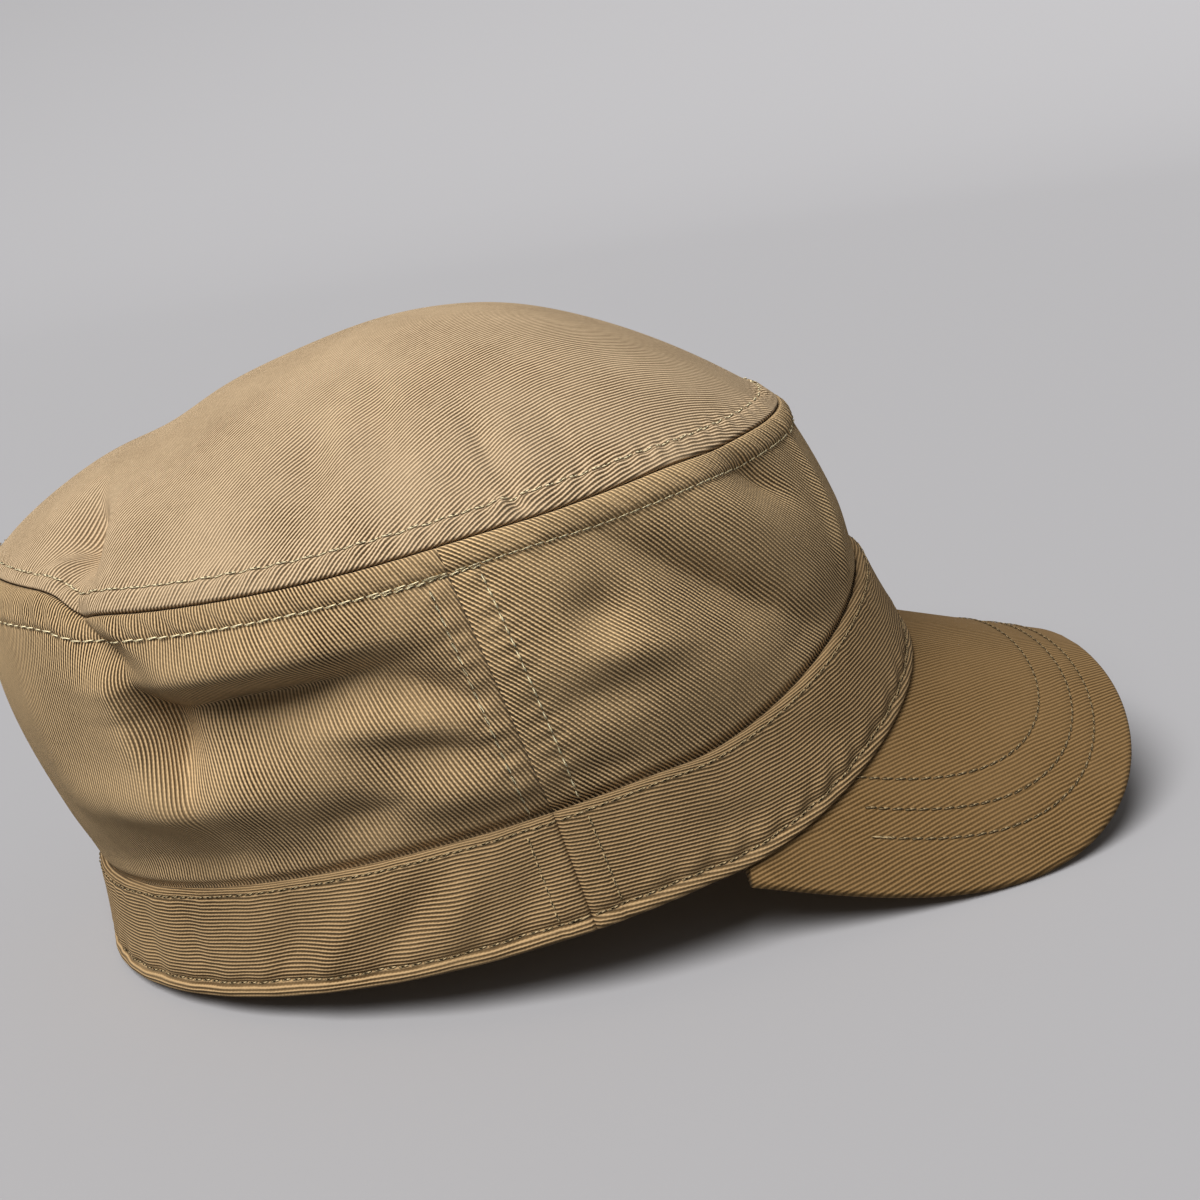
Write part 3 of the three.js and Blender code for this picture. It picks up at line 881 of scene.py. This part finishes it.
def twill(name, wale_angle, ridge, furrow_painted_shade, rough, height, pitch, fan=None):
    """A woven finish. wale_angle is the wales' direction on the flat cut, in degrees."""
    material, shader = new_material(name)
    wire = Wire(material.node_tree)
    cut = wire.add("ShaderNodeUVMap", {"uv_map": "cut"}, {})
    bend = noise(wire, cut, BEND_SCALE, 1.0, 1)
    bend = vector_math(wire, "SUBTRACT", {0: bend, 1: (0.5,) * 3})
    bend = vector_math(wire, "SCALE", {0: bend, "Scale": BEND_SIZE})
    bent = vector_math(wire, "ADD", {0: cut, 1: bend})
    turned_cut = mapping(wire, {"Vector": bent, "Rotation": (0, 0, -math.radians(wale_angle))})
    along = wire.add("ShaderNodeSeparateXYZ", {}, {0: turned_cut}, 0)
    across = wire.add("ShaderNodeSeparateXYZ", {}, {0: turned_cut}, 1)
    if fan:
        lean = wire.math("TANH", (across - fan["across"]) * (1 / fan["width"])) * fan["lean"]
        across = across + lean * (along - fan["along"])
    threads = mapping(wire, {"Vector": turned_cut, "Scale": THREAD_STRETCH})
    slub = noise(wire, threads, SLUB_SCALE, 3.0)
    wander = (noise(wire, threads, WANDER_SCALE) - 0.5) * WANDER_SIZE
    wale = wave(wire, across * (FULL_TURN / pitch) + wander)
    floats = wave(wire, along * (FULL_TURN / FLOAT_PITCH) + across * (FULL_TURN / pitch * FLOAT_SHIFT))
    fibre = noise(wire, cut, FIBRE_SCALE)
    relief = wale * RELIEF["wale"] + wale * floats * RELIEF["float"]
    relief = relief + slub * RELIEF["slub"] + fibre * RELIEF["fibre"]
    # The dark of the furrows is painted shade: the shadow that falls into the grooves between the
    # wales, mixed in by the same sine.
    tone_and_furrow_shade = wale + (slub - 0.5) * PALE["slub"] + (floats - 0.5) * PALE["float"]
    smoothstep = {"interpolation_type": "SMOOTHSTEP"}
    ridge_share_over_painted_shade = wire.add("ShaderNodeMapRange", smoothstep, {"Value": tone_and_furrow_shade, **PALE_RANGE})
    color = mix_colors(wire, ridge_share_over_painted_shade, furrow_painted_shade, ridge)
    soft = noise(wire, cut, WEAR_SCALE, 4.0)
    worn = wire.add("ShaderNodeMapRange", {}, {"Value": soft, **WEAR_RANGE})
    color = mix_colors(wire, worn, color, [value * WORN_SHADE for value in ridge[:3]] + [1.0])
    speckle = SPECKLE_LOW + SPECKLE_SIZE * noise(wire, threads, SPECKLE_SCALE)
    speckled = vector_math(wire, "SCALE", {0: color, "Scale": speckle})
    surface = {"Strength": 1.0, "Distance": height * MILLIMETRE, "Height": relief}
    raised = wire.add("ShaderNodeBump", {}, surface)
    wire.feed(shader, {
        "Base Color": speckled, "Roughness": rough - RIDGE_SHINE * ridge_share_over_painted_shade, "Normal": raised,
        "Specular IOR Level": 0.12, "Sheen Weight": 0.08, "Sheen Roughness": 0.5,
        "Sheen Tint": SHEEN_TINT})
    return material


# %% Twills of the cap
# Painted light in these colours: every furrow is painted shade, darkest on the front panel where the
# light grazes and lightest on the top where it falls square; the top's paler, greyer ridge is painted
# sheen; the peak's dark ridge is painted shade from the crown above it.
TOP_RIDGE_PAINTED_SHEEN = (0.68, 0.526, 0.355, 1)
TOP_FURROW_PAINTED_SHADE = (0.11, 0.068, 0.03, 1)
FRONT_RIDGE = (0.88, 0.642, 0.368, 1)
FRONT_FURROW_PAINTED_SHADE = (0.028, 0.014, 0.004, 1)
BACK_RIDGE = (0.72, 0.525, 0.305, 1)
BACK_FURROW_PAINTED_SHADE = (0.045, 0.025, 0.009, 1)
BAND_RIDGE = (0.48, 0.34, 0.188, 1)
BAND_FRONT_FURROW_PAINTED_SHADE = (0.105, 0.066, 0.03, 1)
BAND_BACK_FURROW_PAINTED_SHADE = (0.09, 0.055, 0.025, 1)
PEAK_RIDGE_PAINTED_SHADE = (0.275, 0.178, 0.083, 1)
PEAK_FURROW_PAINTED_SHADE = (0.10, 0.06, 0.022, 1)
# The wales of the back panel lean towards the rear near the side seam
BACK_FAN = {"along": 275.0, "across": 96.0, "width": 40.0, "lean": 0.2}

# After the name: direction of the wales, ridge, furrow and its painted shade, roughness, height of
# the wales and their pitch, in degrees and millimetres
top_twill = twill("top_twill", -57, TOP_RIDGE_PAINTED_SHEEN, TOP_FURROW_PAINTED_SHADE, 0.95, 0.26, 0.76)
front_twill = twill("front_twill", 36.5, FRONT_RIDGE, FRONT_FURROW_PAINTED_SHADE, 0.95, 0.42, 0.8)
back_twill = twill("back_twill", 27, BACK_RIDGE, BACK_FURROW_PAINTED_SHADE, 0.95, 0.34, 0.78, BACK_FAN)
band_front_twill = twill("band_front_twill", 8, BAND_RIDGE, BAND_FRONT_FURROW_PAINTED_SHADE, 0.95, 0.3, 0.76)
band_back_twill = twill("band_back_twill", 0, BAND_RIDGE, BAND_BACK_FURROW_PAINTED_SHADE, 0.95, 0.3, 0.76)
peak_twill = twill("peak_twill", 58, PEAK_RIDGE_PAINTED_SHADE, PEAK_FURROW_PAINTED_SHADE, 0.92, 0.16, 0.88)
print("twills:", [material.name for material in bpy.data.materials if "twill" in material.name])

# %% [markdown]
# ## Dress the crown
# The three crown panels share one set of functions, and only their ranges and
# their flat cuts differ. The side that faces the camera and the cloth close to
# the seams get the closest lines.

# %% Crown panels
CROWN_CLOTH = 1.6
CROWN_CENTRE = Vector((0, 0.015, 0.06))
# The walls are cut as parts of a ring, and the first guess is a little large
CUT_RADIUS = 240.0
CUT_MIDDLE = 25.0
LOOSE_WALL = 1.25
LOOSE_TOP = 1.12
EASED_FOLDS = 0.86
MIDDLE_START = 50.0
MIDDLE_END = 74.0
# Rows as a start, a step, a stop and so on: shares of the wall, millimetres of the top
WALL_ROWS = (0, 0.0125, 0.9, 0.0062, 0.985, 0.003, 1)
TOP_ROWS = (0, 0.2, 1, 0.45, 7.2, 1.3, TOP_LENGTH)
SEAM_TURNS = np.linspace(-math.pi, FULL_TURN + 0.1, 1200)


def run_along(line):
    """Distance along a line of places, from its first place."""
    steps = np.linalg.norm(np.diff(line, axis=0), axis=1)
    return np.concatenate([[0], np.cumsum(steps)])


def seam_length(angle):
    """Length of the top seam from the brow to an angle."""
    runs = run_along(np.stack(oval_point(SEAM_OVAL, SEAM_TURNS), axis=1))
    return np.interp(angle, SEAM_TURNS, runs) - np.interp(0, SEAM_TURNS, runs)


def wall_cut(angle, s):
    turn = seam_length(angle) / CUT_RADIUS
    reach = CUT_RADIUS + CUT_MIDDLE + s
    return np.stack([reach * np.sin(turn), reach * np.cos(turn)], axis=-1)


def top_cut(angle, s):
    edge_x, edge_y = oval_point(SEAM_OVAL, angle)
    reach = LOOSE_TOP * (1 - s / TOP_LENGTH)
    return np.stack([edge_x * reach, edge_y * reach], axis=-1)


def wall_address(angle, share):
    """share runs from 0 at the tucked-in lower edge to 1 at the top seam."""
    length = around(WALL_LENGTH, angle) + TUCK_DEPTH
    return angle, (share - 1) * length


def flat_size(cut):
    """Sides of the smallest box round a flat cut, and the cut's area, in metres."""
    long = cut[1:, 1:] - cut[:-1, :-1]
    wide = cut[:-1, 1:] - cut[1:, :-1]
    area = abs(np.sum(long[..., 0] * wide[..., 1] - long[..., 1] * wide[..., 0])) / 2
    boxes = []
    for turn in np.radians(np.arange(90)):
        c, s = math.cos(turn), math.sin(turn)
        x = cut[..., 0] * c + cut[..., 1] * s
        y = cut[..., 1] * c - cut[..., 0] * s
        boxes.append((np.ptp(x), np.ptp(y)))
    width, length = sorted(min(boxes, key=lambda box: box[0] * box[1]))
    return width * MILLIMETRE, length * MILLIMETRE, area * MILLIMETRE ** 2


def thicken(piece, thickness):
    solid = piece.modifiers.new("cloth", "SOLIDIFY")
    solid.thickness = thickness * MILLIMETRE
    solid.offset = -1
    return piece


def make_wall(name, columns, material):
    rows = spread(*WALL_ROWS)

    def place(angle, share, fold_share=1.0):
        return crown_place(*wall_address(angle, share), fold_share)

    def eased(angle, share):
        return place(angle, share, EASED_FOLDS)

    def guess(angle, share):
        return wall_cut(*wall_address(angle, share)) * LOOSE_WALL

    cut = settled_cut(columns, rows, eased, guess)
    mesh = lay_grid(columns, rows, place, cut)
    close_up(mesh, CROWN_CENTRE)
    piece = add_piece(name + "_cloth", mesh, material, [name])
    return thicken(piece, CROWN_CLOTH), flat_size(cut)


def even_middle(cut, angle, s):
    """The threads crowd at the middle of the top, so its cut there is a plain flat copy."""
    flat = crown_base(angle, s)[..., :2]
    sample = (s > MIDDLE_START) & (s < MIDDLE_END)
    known = np.append(flat[sample], np.ones((sample.sum(), 1)), axis=1)
    copy = np.linalg.lstsq(known, cut[sample], rcond=None)[0]
    share = smooth(MIDDLE_START, MIDDLE_END, s)[..., None]
    return cut + (flat @ copy[:2] + copy[2] - cut) * share


def make_top(columns, material):
    rows = spread(*TOP_ROWS)

    def eased(angle, s):
        return crown_place(angle, s, EASED_FOLDS)

    cut = settled_cut(columns, rows, eased, top_cut, closed=True)
    cut = even_middle(cut, *np.meshgrid(columns, rows, indexing="ij"))
    mesh = lay_grid(columns, rows, crown_place, cut)
    close_up(mesh, CROWN_CENTRE)
    piece = add_piece("crown_top_cloth", mesh, material, ["crown_top"])
    return thicken(piece, CROWN_CLOTH), flat_size(cut)


TURN = math.radians(1)
# Columns round the head in the same way, closest on the side that faces the camera
front_columns = spread(-SIDE_SEAM, 0.8 * TURN, 0, 0.52 * TURN, SIDE_SEAM)
back_columns = spread(SIDE_SEAM, 0.5 * TURN, 165 * TURN, 0.8 * TURN, FULL_TURN - SIDE_SEAM)
top_columns = spread(0, 0.62 * TURN, 170 * TURN, 1.1 * TURN, FULL_TURN)
crown_top, top_size = make_top(top_columns, top_twill)
crown_front, front_size = make_wall("crown_side_front", front_columns, front_twill)
crown_back, back_size = make_wall("crown_side_back", back_columns, back_twill)
print("crown faces:", [len(piece.data.polygons) for piece in (crown_top, crown_front, crown_back)])

# %% [markdown]
# ## Dress the band
# The band's section goes up the outside, over the fold, down the inside and
# round the rim. It is one closed loop, so the band needs no thickness of its
# own, and its two cut ends are filled.

# %% Band pieces
EDGE_STEPS = 7
BAND_OUTER_STEPS = 36
BAND_INNER_STEPS = 9
# The rim is a little longer round than the top seam
BAND_STRETCH = 1.06


def band_section():
    """The loop round the band's cut edge: share of the height, height past it and depth."""
    r = BAND_CLOTH / 2
    half_turn = np.linspace(0, math.pi, EDGE_STEPS)
    loop = [(0, r - r * math.sin(turn), r + r * math.cos(turn)) for turn in half_turn]
    loop += [(share, r, 0) for share in np.linspace(0, 1, BAND_OUTER_STEPS)[1:-1]]
    loop += [(1, r + r * math.sin(turn), r - r * math.cos(turn)) for turn in half_turn]
    loop += [(share, r, 2 * r) for share in np.linspace(1, 0, BAND_INNER_STEPS)[1:]]
    return np.array(loop)


BAND_LOOP = band_section()


def on_loop(loop, index):
    """The columns of a section's loop, read between its rows."""
    return [np.interp(index, np.arange(len(loop)), column) for column in loop.T]


def along_section(angle, index):
    """Height and depth of a place on the section's loop."""
    share, over, depth = on_loop(BAND_LOOP, index)
    return share * (around(BAND_HEIGHT, angle) - BAND_CLOTH) + over, depth


def band_cut(angle, index):
    height, depth = along_section(angle, index)
    return np.stack([seam_length(angle) * BAND_STRETCH, height + depth], axis=-1)


def strip_size(columns):
    """Width and length of a part of the band as a flat double strip, in metres."""
    rows = np.arange(len(BAND_LOOP))
    section = np.stack(along_section(np.full(len(rows), SIDE_SEAM), rows), axis=1)
    rim = np.stack(oval_point(RIM_OVAL, columns), axis=1)
    return run_along(section)[-1] / 2 * MILLIMETRE, run_along(rim)[-1] * MILLIMETRE


def make_band(name, columns, material):
    rows = np.arange(len(BAND_LOOP))

    def place(angle, index):
        return band_place(angle, *along_section(angle, index))

    cut = band_cut(*np.meshgrid(columns, rows, indexing="ij"))
    mesh = lay_grid(columns, rows, place, cut)
    close_ends(mesh)
    piece = add_piece(name + "_cloth", mesh, material, [name])
    return piece, strip_size(columns)


band_front, band_front_size = make_band("band_front", front_columns, band_front_twill)
band_back, band_back_size = make_band("band_back", back_columns, band_back_twill)
print("band faces:", len(band_front.data.polygons), len(band_back.data.polygons))

# %% Peak piece
PEAK_COLUMNS = 190
PEAK_UPPER_STEPS = 90
PEAK_EDGE_STEPS = 9
PEAK_LOWER_STEPS = 60


def peak_section():
    """The loop round the peak's cut edge: share of the way in, set-in and depth."""
    r = PEAK_THICKNESS / 2
    loop = [(share, r, PEAK_GAP) for share in np.linspace(1, 0, PEAK_UPPER_STEPS)]
    for turn in np.linspace(0, math.pi, PEAK_EDGE_STEPS)[1:]:
        loop.append((0, r - r * math.sin(turn), PEAK_GAP + r - r * math.cos(turn)))
    loop += [(share, r, PEAK_GAP + 2 * r) for share in np.linspace(0, 1, PEAK_LOWER_STEPS)[1:]]
    loop.append(loop[0])
    return np.array(loop)


PEAK_LOOP = peak_section()


def peak_address(u, index):
    share, inset, depth = on_loop(PEAK_LOOP, index)
    inner_s, inner_t = peak_inner(-u * PEAK_CORNER, BAND_CLOTH)
    outer_s, outer_t = blunt_oval(PEAK_HALF_WIDTH, PEAK_REACH, PEAK_REAR, u)
    long = np.hypot(outer_s - inner_s, outer_t - inner_t)
    run = np.maximum(long - PEAK_THICKNESS / 2, 0)
    w = 1 - (share * run + np.minimum(inset, long)) / np.maximum(long, 1e-6)
    return inner_s + (outer_s - inner_s) * w, inner_t + (outer_t - inner_t) * w, depth


def peak_cloth_place(u, index):
    s, t, depth = peak_address(u, index)
    middle = PEAK_GAP + PEAK_THICKNESS / 2
    side = np.clip((middle - depth) / (PEAK_THICKNESS / 2), -1, 1)
    return peak_sheet(s, t, depth - peak_relief(s, t) * side)


def make_peak():
    columns = np.linspace(-1, 1, PEAK_COLUMNS)
    rows = np.arange(len(PEAK_LOOP))
    s, t, depth = peak_address(*np.meshgrid(columns, rows, indexing="ij"))
    mesh = lay_grid(columns, rows, peak_cloth_place, np.stack([s, t], axis=-1))
    close_ends(mesh)
    return add_piece("peak_cloth", mesh, peak_twill, ["peak"])


peak = make_peak()
print("peak faces:", len(peak.data.polygons))

# %% [markdown]
# ## Thread
# Every row of stitches is real thread here: one small bead, a squashed ball,
# for each stitch. A row is a path of addresses on a surface. It is measured in
# millimetres, cut at even steps, and each bead is turned along the row and laid
# on the cloth, a little slanted as lockstitches are.

# %% Thread finish
TINT_SCALE = 900


def thread_finish(name, shade, light):
    material, shader = new_material(name)
    wire = Wire(material.node_tree)
    spot = wire.add("ShaderNodeTexCoord", {}, {}, "Object")
    color = mix_colors(wire, noise(wire, spot, TINT_SCALE), shade, light)
    wire.feed(shader, {"Base Color": color, "Roughness": 0.7, "Specular IOR Level": 0.35})
    return material


pale_thread = thread_finish("pale_thread", (0.84, 0.73, 0.47, 1), (0.97, 0.88, 0.64, 1))
dull_thread = thread_finish("dull_thread", (0.42, 0.32, 0.18, 1), (0.60, 0.48, 0.29, 1))

# %% Rows of stitches
STITCH_PITCH = 2.7
STITCH_LENGTH = 2.6
STITCH_WIDTH = 0.44
STITCH_HEIGHT = 0.3
STITCH_SLANT = math.radians(5)
STITCH_LIFT = 0.3
# How far ahead and behind a stitch the row is read for its direction
REACH = 0.9


def surface_normal(place, a, b, step_a, step_b):
    across_a = place(a + step_a, b) - place(a - step_a, b)
    across_b = place(a, b + step_b) - place(a, b - step_b)
    return unit(np.cross(across_b, across_a))


def row_of_stitches(place, first, second, steps, pitch=STITCH_PITCH, outward=1.0, lift=STITCH_LIFT):
    """One matrix for each stitch of a row: where its bead lies and how it is turned."""
    runs = run_along(place(first, second))
    marks = np.arange(pitch / 2, runs[-1] - pitch / 3, pitch)
    a = np.interp(marks, runs, first)
    b = np.interp(marks, runs, second)
    ahead = place(np.interp(marks + REACH, runs, first), np.interp(marks + REACH, runs, second))
    behind = place(np.interp(marks - REACH, runs, first), np.interp(marks - REACH, runs, second))
    normal = surface_normal(place, a, b, *steps) * outward
    middles = at_rest(place(a, b) + normal * lift)
    matrices = []
    for spot, direction, up in zip(middles, turned(ahead - behind), turned(normal)):
        up = Vector(up)
        forward = Matrix.Rotation(STITCH_SLANT, 3, up) @ Vector(direction).normalized()
        side = up.cross(forward).normalized()
        lengths = (pitch * STITCH_LENGTH / STITCH_PITCH, STITCH_WIDTH, STITCH_HEIGHT)
        axes = [axis * length * MILLIMETRE for axis, length in zip((forward, side, up), lengths)]
        matrix = Matrix(axes).transposed().to_4x4()
        matrix.translation = Vector(spot)
        matrices.append(matrix)
    return matrices


BEAD_AROUND = 6
BEAD_ALONG = 7
BEAD_BLUNTNESS = 0.4
BEAD_DIVE = 0.2
BEAD_DIVE_POWER = 4


def bent_bead(spot):
    """A place of a round bead, moved out to a blunter one whose ends dive into the cloth."""
    round_size = math.hypot(spot.y, spot.z) * 2
    fuller = round_size ** -BEAD_BLUNTNESS if round_size > 0.01 else 1.0
    dive = BEAD_DIVE * (2 * spot.x) ** BEAD_DIVE_POWER
    return Vector((spot.x, spot.y * fuller, spot.z * fuller - dive))


def sew(name, matrices, thread):
    """Copy one bead until there is one for each matrix, and move each copy to its place."""
    mesh = bmesh.new()
    bmesh.ops.create_uvsphere(mesh, u_segments=BEAD_AROUND, v_segments=BEAD_ALONG, radius=0.5)
    bmesh.ops.rotate(mesh, verts=mesh.verts, matrix=Matrix.Rotation(math.pi / 2, 3, "Y"))
    for face in mesh.faces:
        face.smooth = True
    bead = [bent_bead(vertex.co) for vertex in mesh.verts]
    made = 1
    while made < len(matrices):
        copies = min(made, len(matrices) - made)
        faces = mesh.faces[:copies * len(mesh.faces) // made]
        bmesh.ops.duplicate(mesh, geom=faces)
        made += copies
        mesh.faces.ensure_lookup_table()
    mesh.verts.ensure_lookup_table()
    for index, vertex in enumerate(mesh.verts):
        matrix = matrices[index // len(bead)]
        vertex.co = matrix @ bead[index % len(bead)]
    bmesh.ops.recalc_face_normals(mesh, faces=mesh.faces)
    print(name, "has", len(matrices), "stitches and", len(mesh.faces), "faces")
    return add_piece(name, mesh, thread)


# Small steps in angle and in height, to read a surface's normal
CROWN_STEPS = (0.006, 0.5)
SIDE_ROW_LIFT = 0.14
CROWN_SIDE_SPAN = (-57, -6.5)
BAND_SIDE_SPAN = (4, 22.5)
BACKSTITCH_SPAN = (84 * TURN, 97 * TURN)
BACKSTITCH_DROP = 0.55
BACKSTITCH_PITCH = 2.2


def level(values, height):
    return np.full_like(values, height)


def side_rows(place, offset, span):
    """Rows of stitches sunk in along the two side seams, at an offset towards the rear."""
    rows = []
    for face in (1, -1):
        run = np.linspace(*span, 120)
        side = level(run, face * (SIDE_SEAM + offset / GIRTH_RADIUS))
        rows += row_of_stitches(place, side, run, CROWN_STEPS, lift=SIDE_ROW_LIFT)
    return rows


def wall_row(angles, drop=0.0, pitch=STITCH_PITCH):
    """A row of stitches under the top seam."""
    return row_of_stitches(crown_place, angles, level(angles, -ROW_OFFSET - drop), CROWN_STEPS, pitch)


ring = np.linspace(0, FULL_TURN, 1500)
front_ring = np.linspace(-SIDE_SEAM, SIDE_SEAM, 700)
back_ring = np.linspace(SIDE_SEAM, FULL_TURN - SIDE_SEAM, 800)
stitches = row_of_stitches(crown_place, ring, height_at(ring, ROW_OFFSET), CROWN_STEPS)
top_thread = sew("crown_top_thread", stitches, pale_thread)
stitches = wall_row(front_ring) + side_rows(crown_place, -FRONT_SIDE_ROW, CROWN_SIDE_SPAN)
front_thread = sew("crown_side_front_thread", stitches, pale_thread)
# The row under the top seam starts and ends with a few stitches sewn twice
backstitch = np.linspace(*BACKSTITCH_SPAN, 60)
stitches = wall_row(back_ring) + wall_row(backstitch, BACKSTITCH_DROP, BACKSTITCH_PITCH)
stitches += side_rows(crown_place, REAR_SIDE_ROW, CROWN_SIDE_SPAN)
back_thread = sew("crown_side_back_thread", stitches, pale_thread)

# %% Band and peak thread
PEAK_STEPS = (0.4, 0.4)
PEAK_STITCH_PITCH = 3.0
PEAK_ROW_SHARES = np.linspace(-0.95, 0.95, 700)


def band_outside(angle, height):
    return band_place(angle, height, np.zeros_like(height))


def sew_band(name, columns, offset):
    """The two rows of a part of the band, and those beside its side seams."""
    top_row = around(BAND_HEIGHT, columns) - TOP_ROW_DROP
    stitches = row_of_stitches(band_outside, columns, level(columns, ROLL_HEIGHT), CROWN_STEPS)
    stitches += row_of_stitches(band_outside, columns, top_row, CROWN_STEPS)
    stitches += side_rows(band_outside, offset, BAND_SIDE_SPAN)
    return sew(name, stitches, dull_thread)


band_front_thread = sew_band("band_front_thread", front_ring, -BAND_ROW_OFFSET)
band_back_thread = sew_band("band_back_thread", back_ring, BAND_ROW_OFFSET)


def peak_upper(s, t):
    return peak_sheet(s, t, PEAK_GAP - peak_relief(s, t))


def peak_lower(s, t):
    return peak_sheet(s, t, PEAK_GAP + PEAK_THICKNESS + peak_relief(s, t))


stitches = []
for half, reach, rear in PEAK_ROWS:
    s, t = blunt_oval(half, reach, rear, PEAK_ROW_SHARES)
    stitches += row_of_stitches(peak_upper, s, t, PEAK_STEPS, PEAK_STITCH_PITCH)
    stitches += row_of_stitches(peak_lower, s, t, PEAK_STEPS, PEAK_STITCH_PITCH, outward=-1.0)
sew("peak_thread", stitches, dull_thread)

# %% [markdown]
# ## Sizes of the cut cloth
# Each panel's flat cut was measured above, and here its size is printed.

# %% Sheets
CROWN_SHEETS = (
    (crown_top, top_size, ["crown_side_front_cloth", "crown_side_back_cloth"], top_thread),
    (crown_front, front_size, ["band_front_cloth"], front_thread),
    (crown_back, back_size, ["band_back_cloth"], back_thread),
)
for piece, (width, length, area), below, row in CROWN_SHEETS:
    print(piece.name, "was cut to", round(width, 3), "by", round(length, 3), "m, area", round(area, 4))
BAND_SHEETS = (
    (band_front, band_front_size, ["peak_cloth"], band_front_thread),
    (band_back, band_back_size, [], band_back_thread),
)
for piece, (width, length), below, row in BAND_SHEETS:
    print(piece.name, "was cut to", round(width, 3), "by", round(length, 3), "m")

# %% [markdown]
# ## Floor, light and camera
# The floor is one spun bowl: flat in the middle and curved up at the rim, so
# the picture shows no edge behind the cap.

# %% Floor
FLOOR_RADIUS = 2.2
FLOOR_BEND = 2.0
FLOOR_STEPS = 64
FLOOR_BEND_STEPS = 12
FLOOR_GREY = (0.372, 0.374, 0.395, 1)


def make_floor():
    mesh = bmesh.new()
    verts = [mesh.verts.new((0, 0, 0)), mesh.verts.new((FLOOR_RADIUS, 0, 0))]
    for turn in np.linspace(0, math.pi / 2, FLOOR_BEND_STEPS)[1:]:
        out = FLOOR_RADIUS + FLOOR_BEND * math.sin(turn)
        verts.append(mesh.verts.new((out, 0, FLOOR_BEND * (1 - math.cos(turn)))))
    edges = [mesh.edges.new(pair) for pair in zip(verts, verts[1:])]
    bmesh.ops.spin(
        mesh, geom=verts + edges, axis=(0, 0, 1), cent=(0, 0, 0),
        angle=FULL_TURN, steps=FLOOR_STEPS, use_merge=True)
    bmesh.ops.remove_doubles(mesh, verts=mesh.verts, dist=MERGE_DISTANCE)
    bmesh.ops.recalc_face_normals(mesh, faces=mesh.faces)
    if mesh.faces[0].normal.z < 0:
        bmesh.ops.reverse_faces(mesh, faces=mesh.faces)
    for face in mesh.faces:
        face.smooth = True
    data = bpy.data.meshes.new("floor")
    mesh.to_mesh(data)
    mesh.free()
    floor = bpy.data.objects.new("floor", data)
    bpy.context.collection.objects.link(floor)
    material, shader = new_material("floor_paint")
    shader.inputs["Base Color"].default_value = FLOOR_GREY
    shader.inputs["Roughness"].default_value = 0.8
    data.materials.append(material)
    floor.visible_diffuse = False
    return floor


make_floor()

# %% Light
KEY_DIRECTION = (-0.4, 0.34, 1.0)
KEY_SPREAD = math.radians(42)
KEY_STRENGTH = 4.3
WARM_WHITE = (1.0, 0.98, 0.95)
SKY_STRENGTH = 0.27
PICTURE_GAMMA = 0.88


def direction_at_rest(direction):
    return Vector(turned(direction)).normalized()


def add_sun(name, direction, spread_angle, strength, color):
    data = bpy.data.lights.new(name, "SUN")
    data.angle = spread_angle
    data.energy = strength
    data.color = color
    lamp = bpy.data.objects.new(name, data)
    lamp.rotation_euler = direction_at_rest(direction).to_track_quat("Z", "Y").to_euler()
    bpy.context.collection.objects.link(lamp)
    return lamp


add_sun("key", KEY_DIRECTION, KEY_SPREAD, KEY_STRENGTH, WARM_WHITE)
world = bpy.data.worlds.new("studio")
world.use_nodes = True
sky = world.node_tree.nodes["Background"]
sky.inputs["Color"].default_value = WARM_WHITE + (1,)
sky.inputs["Strength"].default_value = SKY_STRENGTH
bpy.context.scene.world = world
bpy.context.scene.view_settings.view_transform = "Standard"
bpy.context.scene.view_settings.gamma = PICTURE_GAMMA

# %% Camera
CAMERA_AZIMUTH = math.radians(-91.5)
CAMERA_ELEVATION = math.radians(15)
CAMERA_ROLL = math.radians(-16)
CAMERA_PAN = math.radians(-4.3)
CAMERA_TILT = math.radians(0.4)
CAMERA_DISTANCE = 420.0
CAMERA_TARGET = (0, 0, 45)
FOCAL_PIXELS = 1772.0
IMAGE_PIXELS = 1200
SENSOR = 36.0


def toward_camera(azimuth, elevation):
    flat = math.cos(elevation)
    return np.array([math.sin(azimuth) * flat, -math.cos(azimuth) * flat, math.sin(elevation)])


def add_camera():
    away = toward_camera(CAMERA_AZIMUTH, CAMERA_ELEVATION)
    place = np.array(CAMERA_TARGET) + CAMERA_DISTANCE * away
    azimuth = CAMERA_AZIMUTH + CAMERA_PAN
    back = toward_camera(azimuth, CAMERA_ELEVATION + CAMERA_TILT)
    right = np.array([math.cos(azimuth), math.sin(azimuth), 0])
    up = np.cross(back, right)
    c = math.cos(CAMERA_ROLL)
    s = math.sin(CAMERA_ROLL)
    axes = [right * c + up * s, up * c - right * s, back]
    matrix = Matrix([Vector(turned(axis)) for axis in axes]).transposed().to_4x4()
    matrix.translation = Vector(at_rest(place))
    data = bpy.data.cameras.new("photo_camera")
    data.sensor_width = SENSOR
    data.lens = FOCAL_PIXELS / IMAGE_PIXELS * SENSOR
    data.clip_start = 0.01
    camera = bpy.data.objects.new("photo_camera", data)
    bpy.context.collection.objects.link(camera)
    camera.matrix_world = matrix
    bpy.context.scene.camera = camera
    return camera


camera = add_camera()
print("camera at", [round(value, 4) for value in camera.matrix_world.translation])
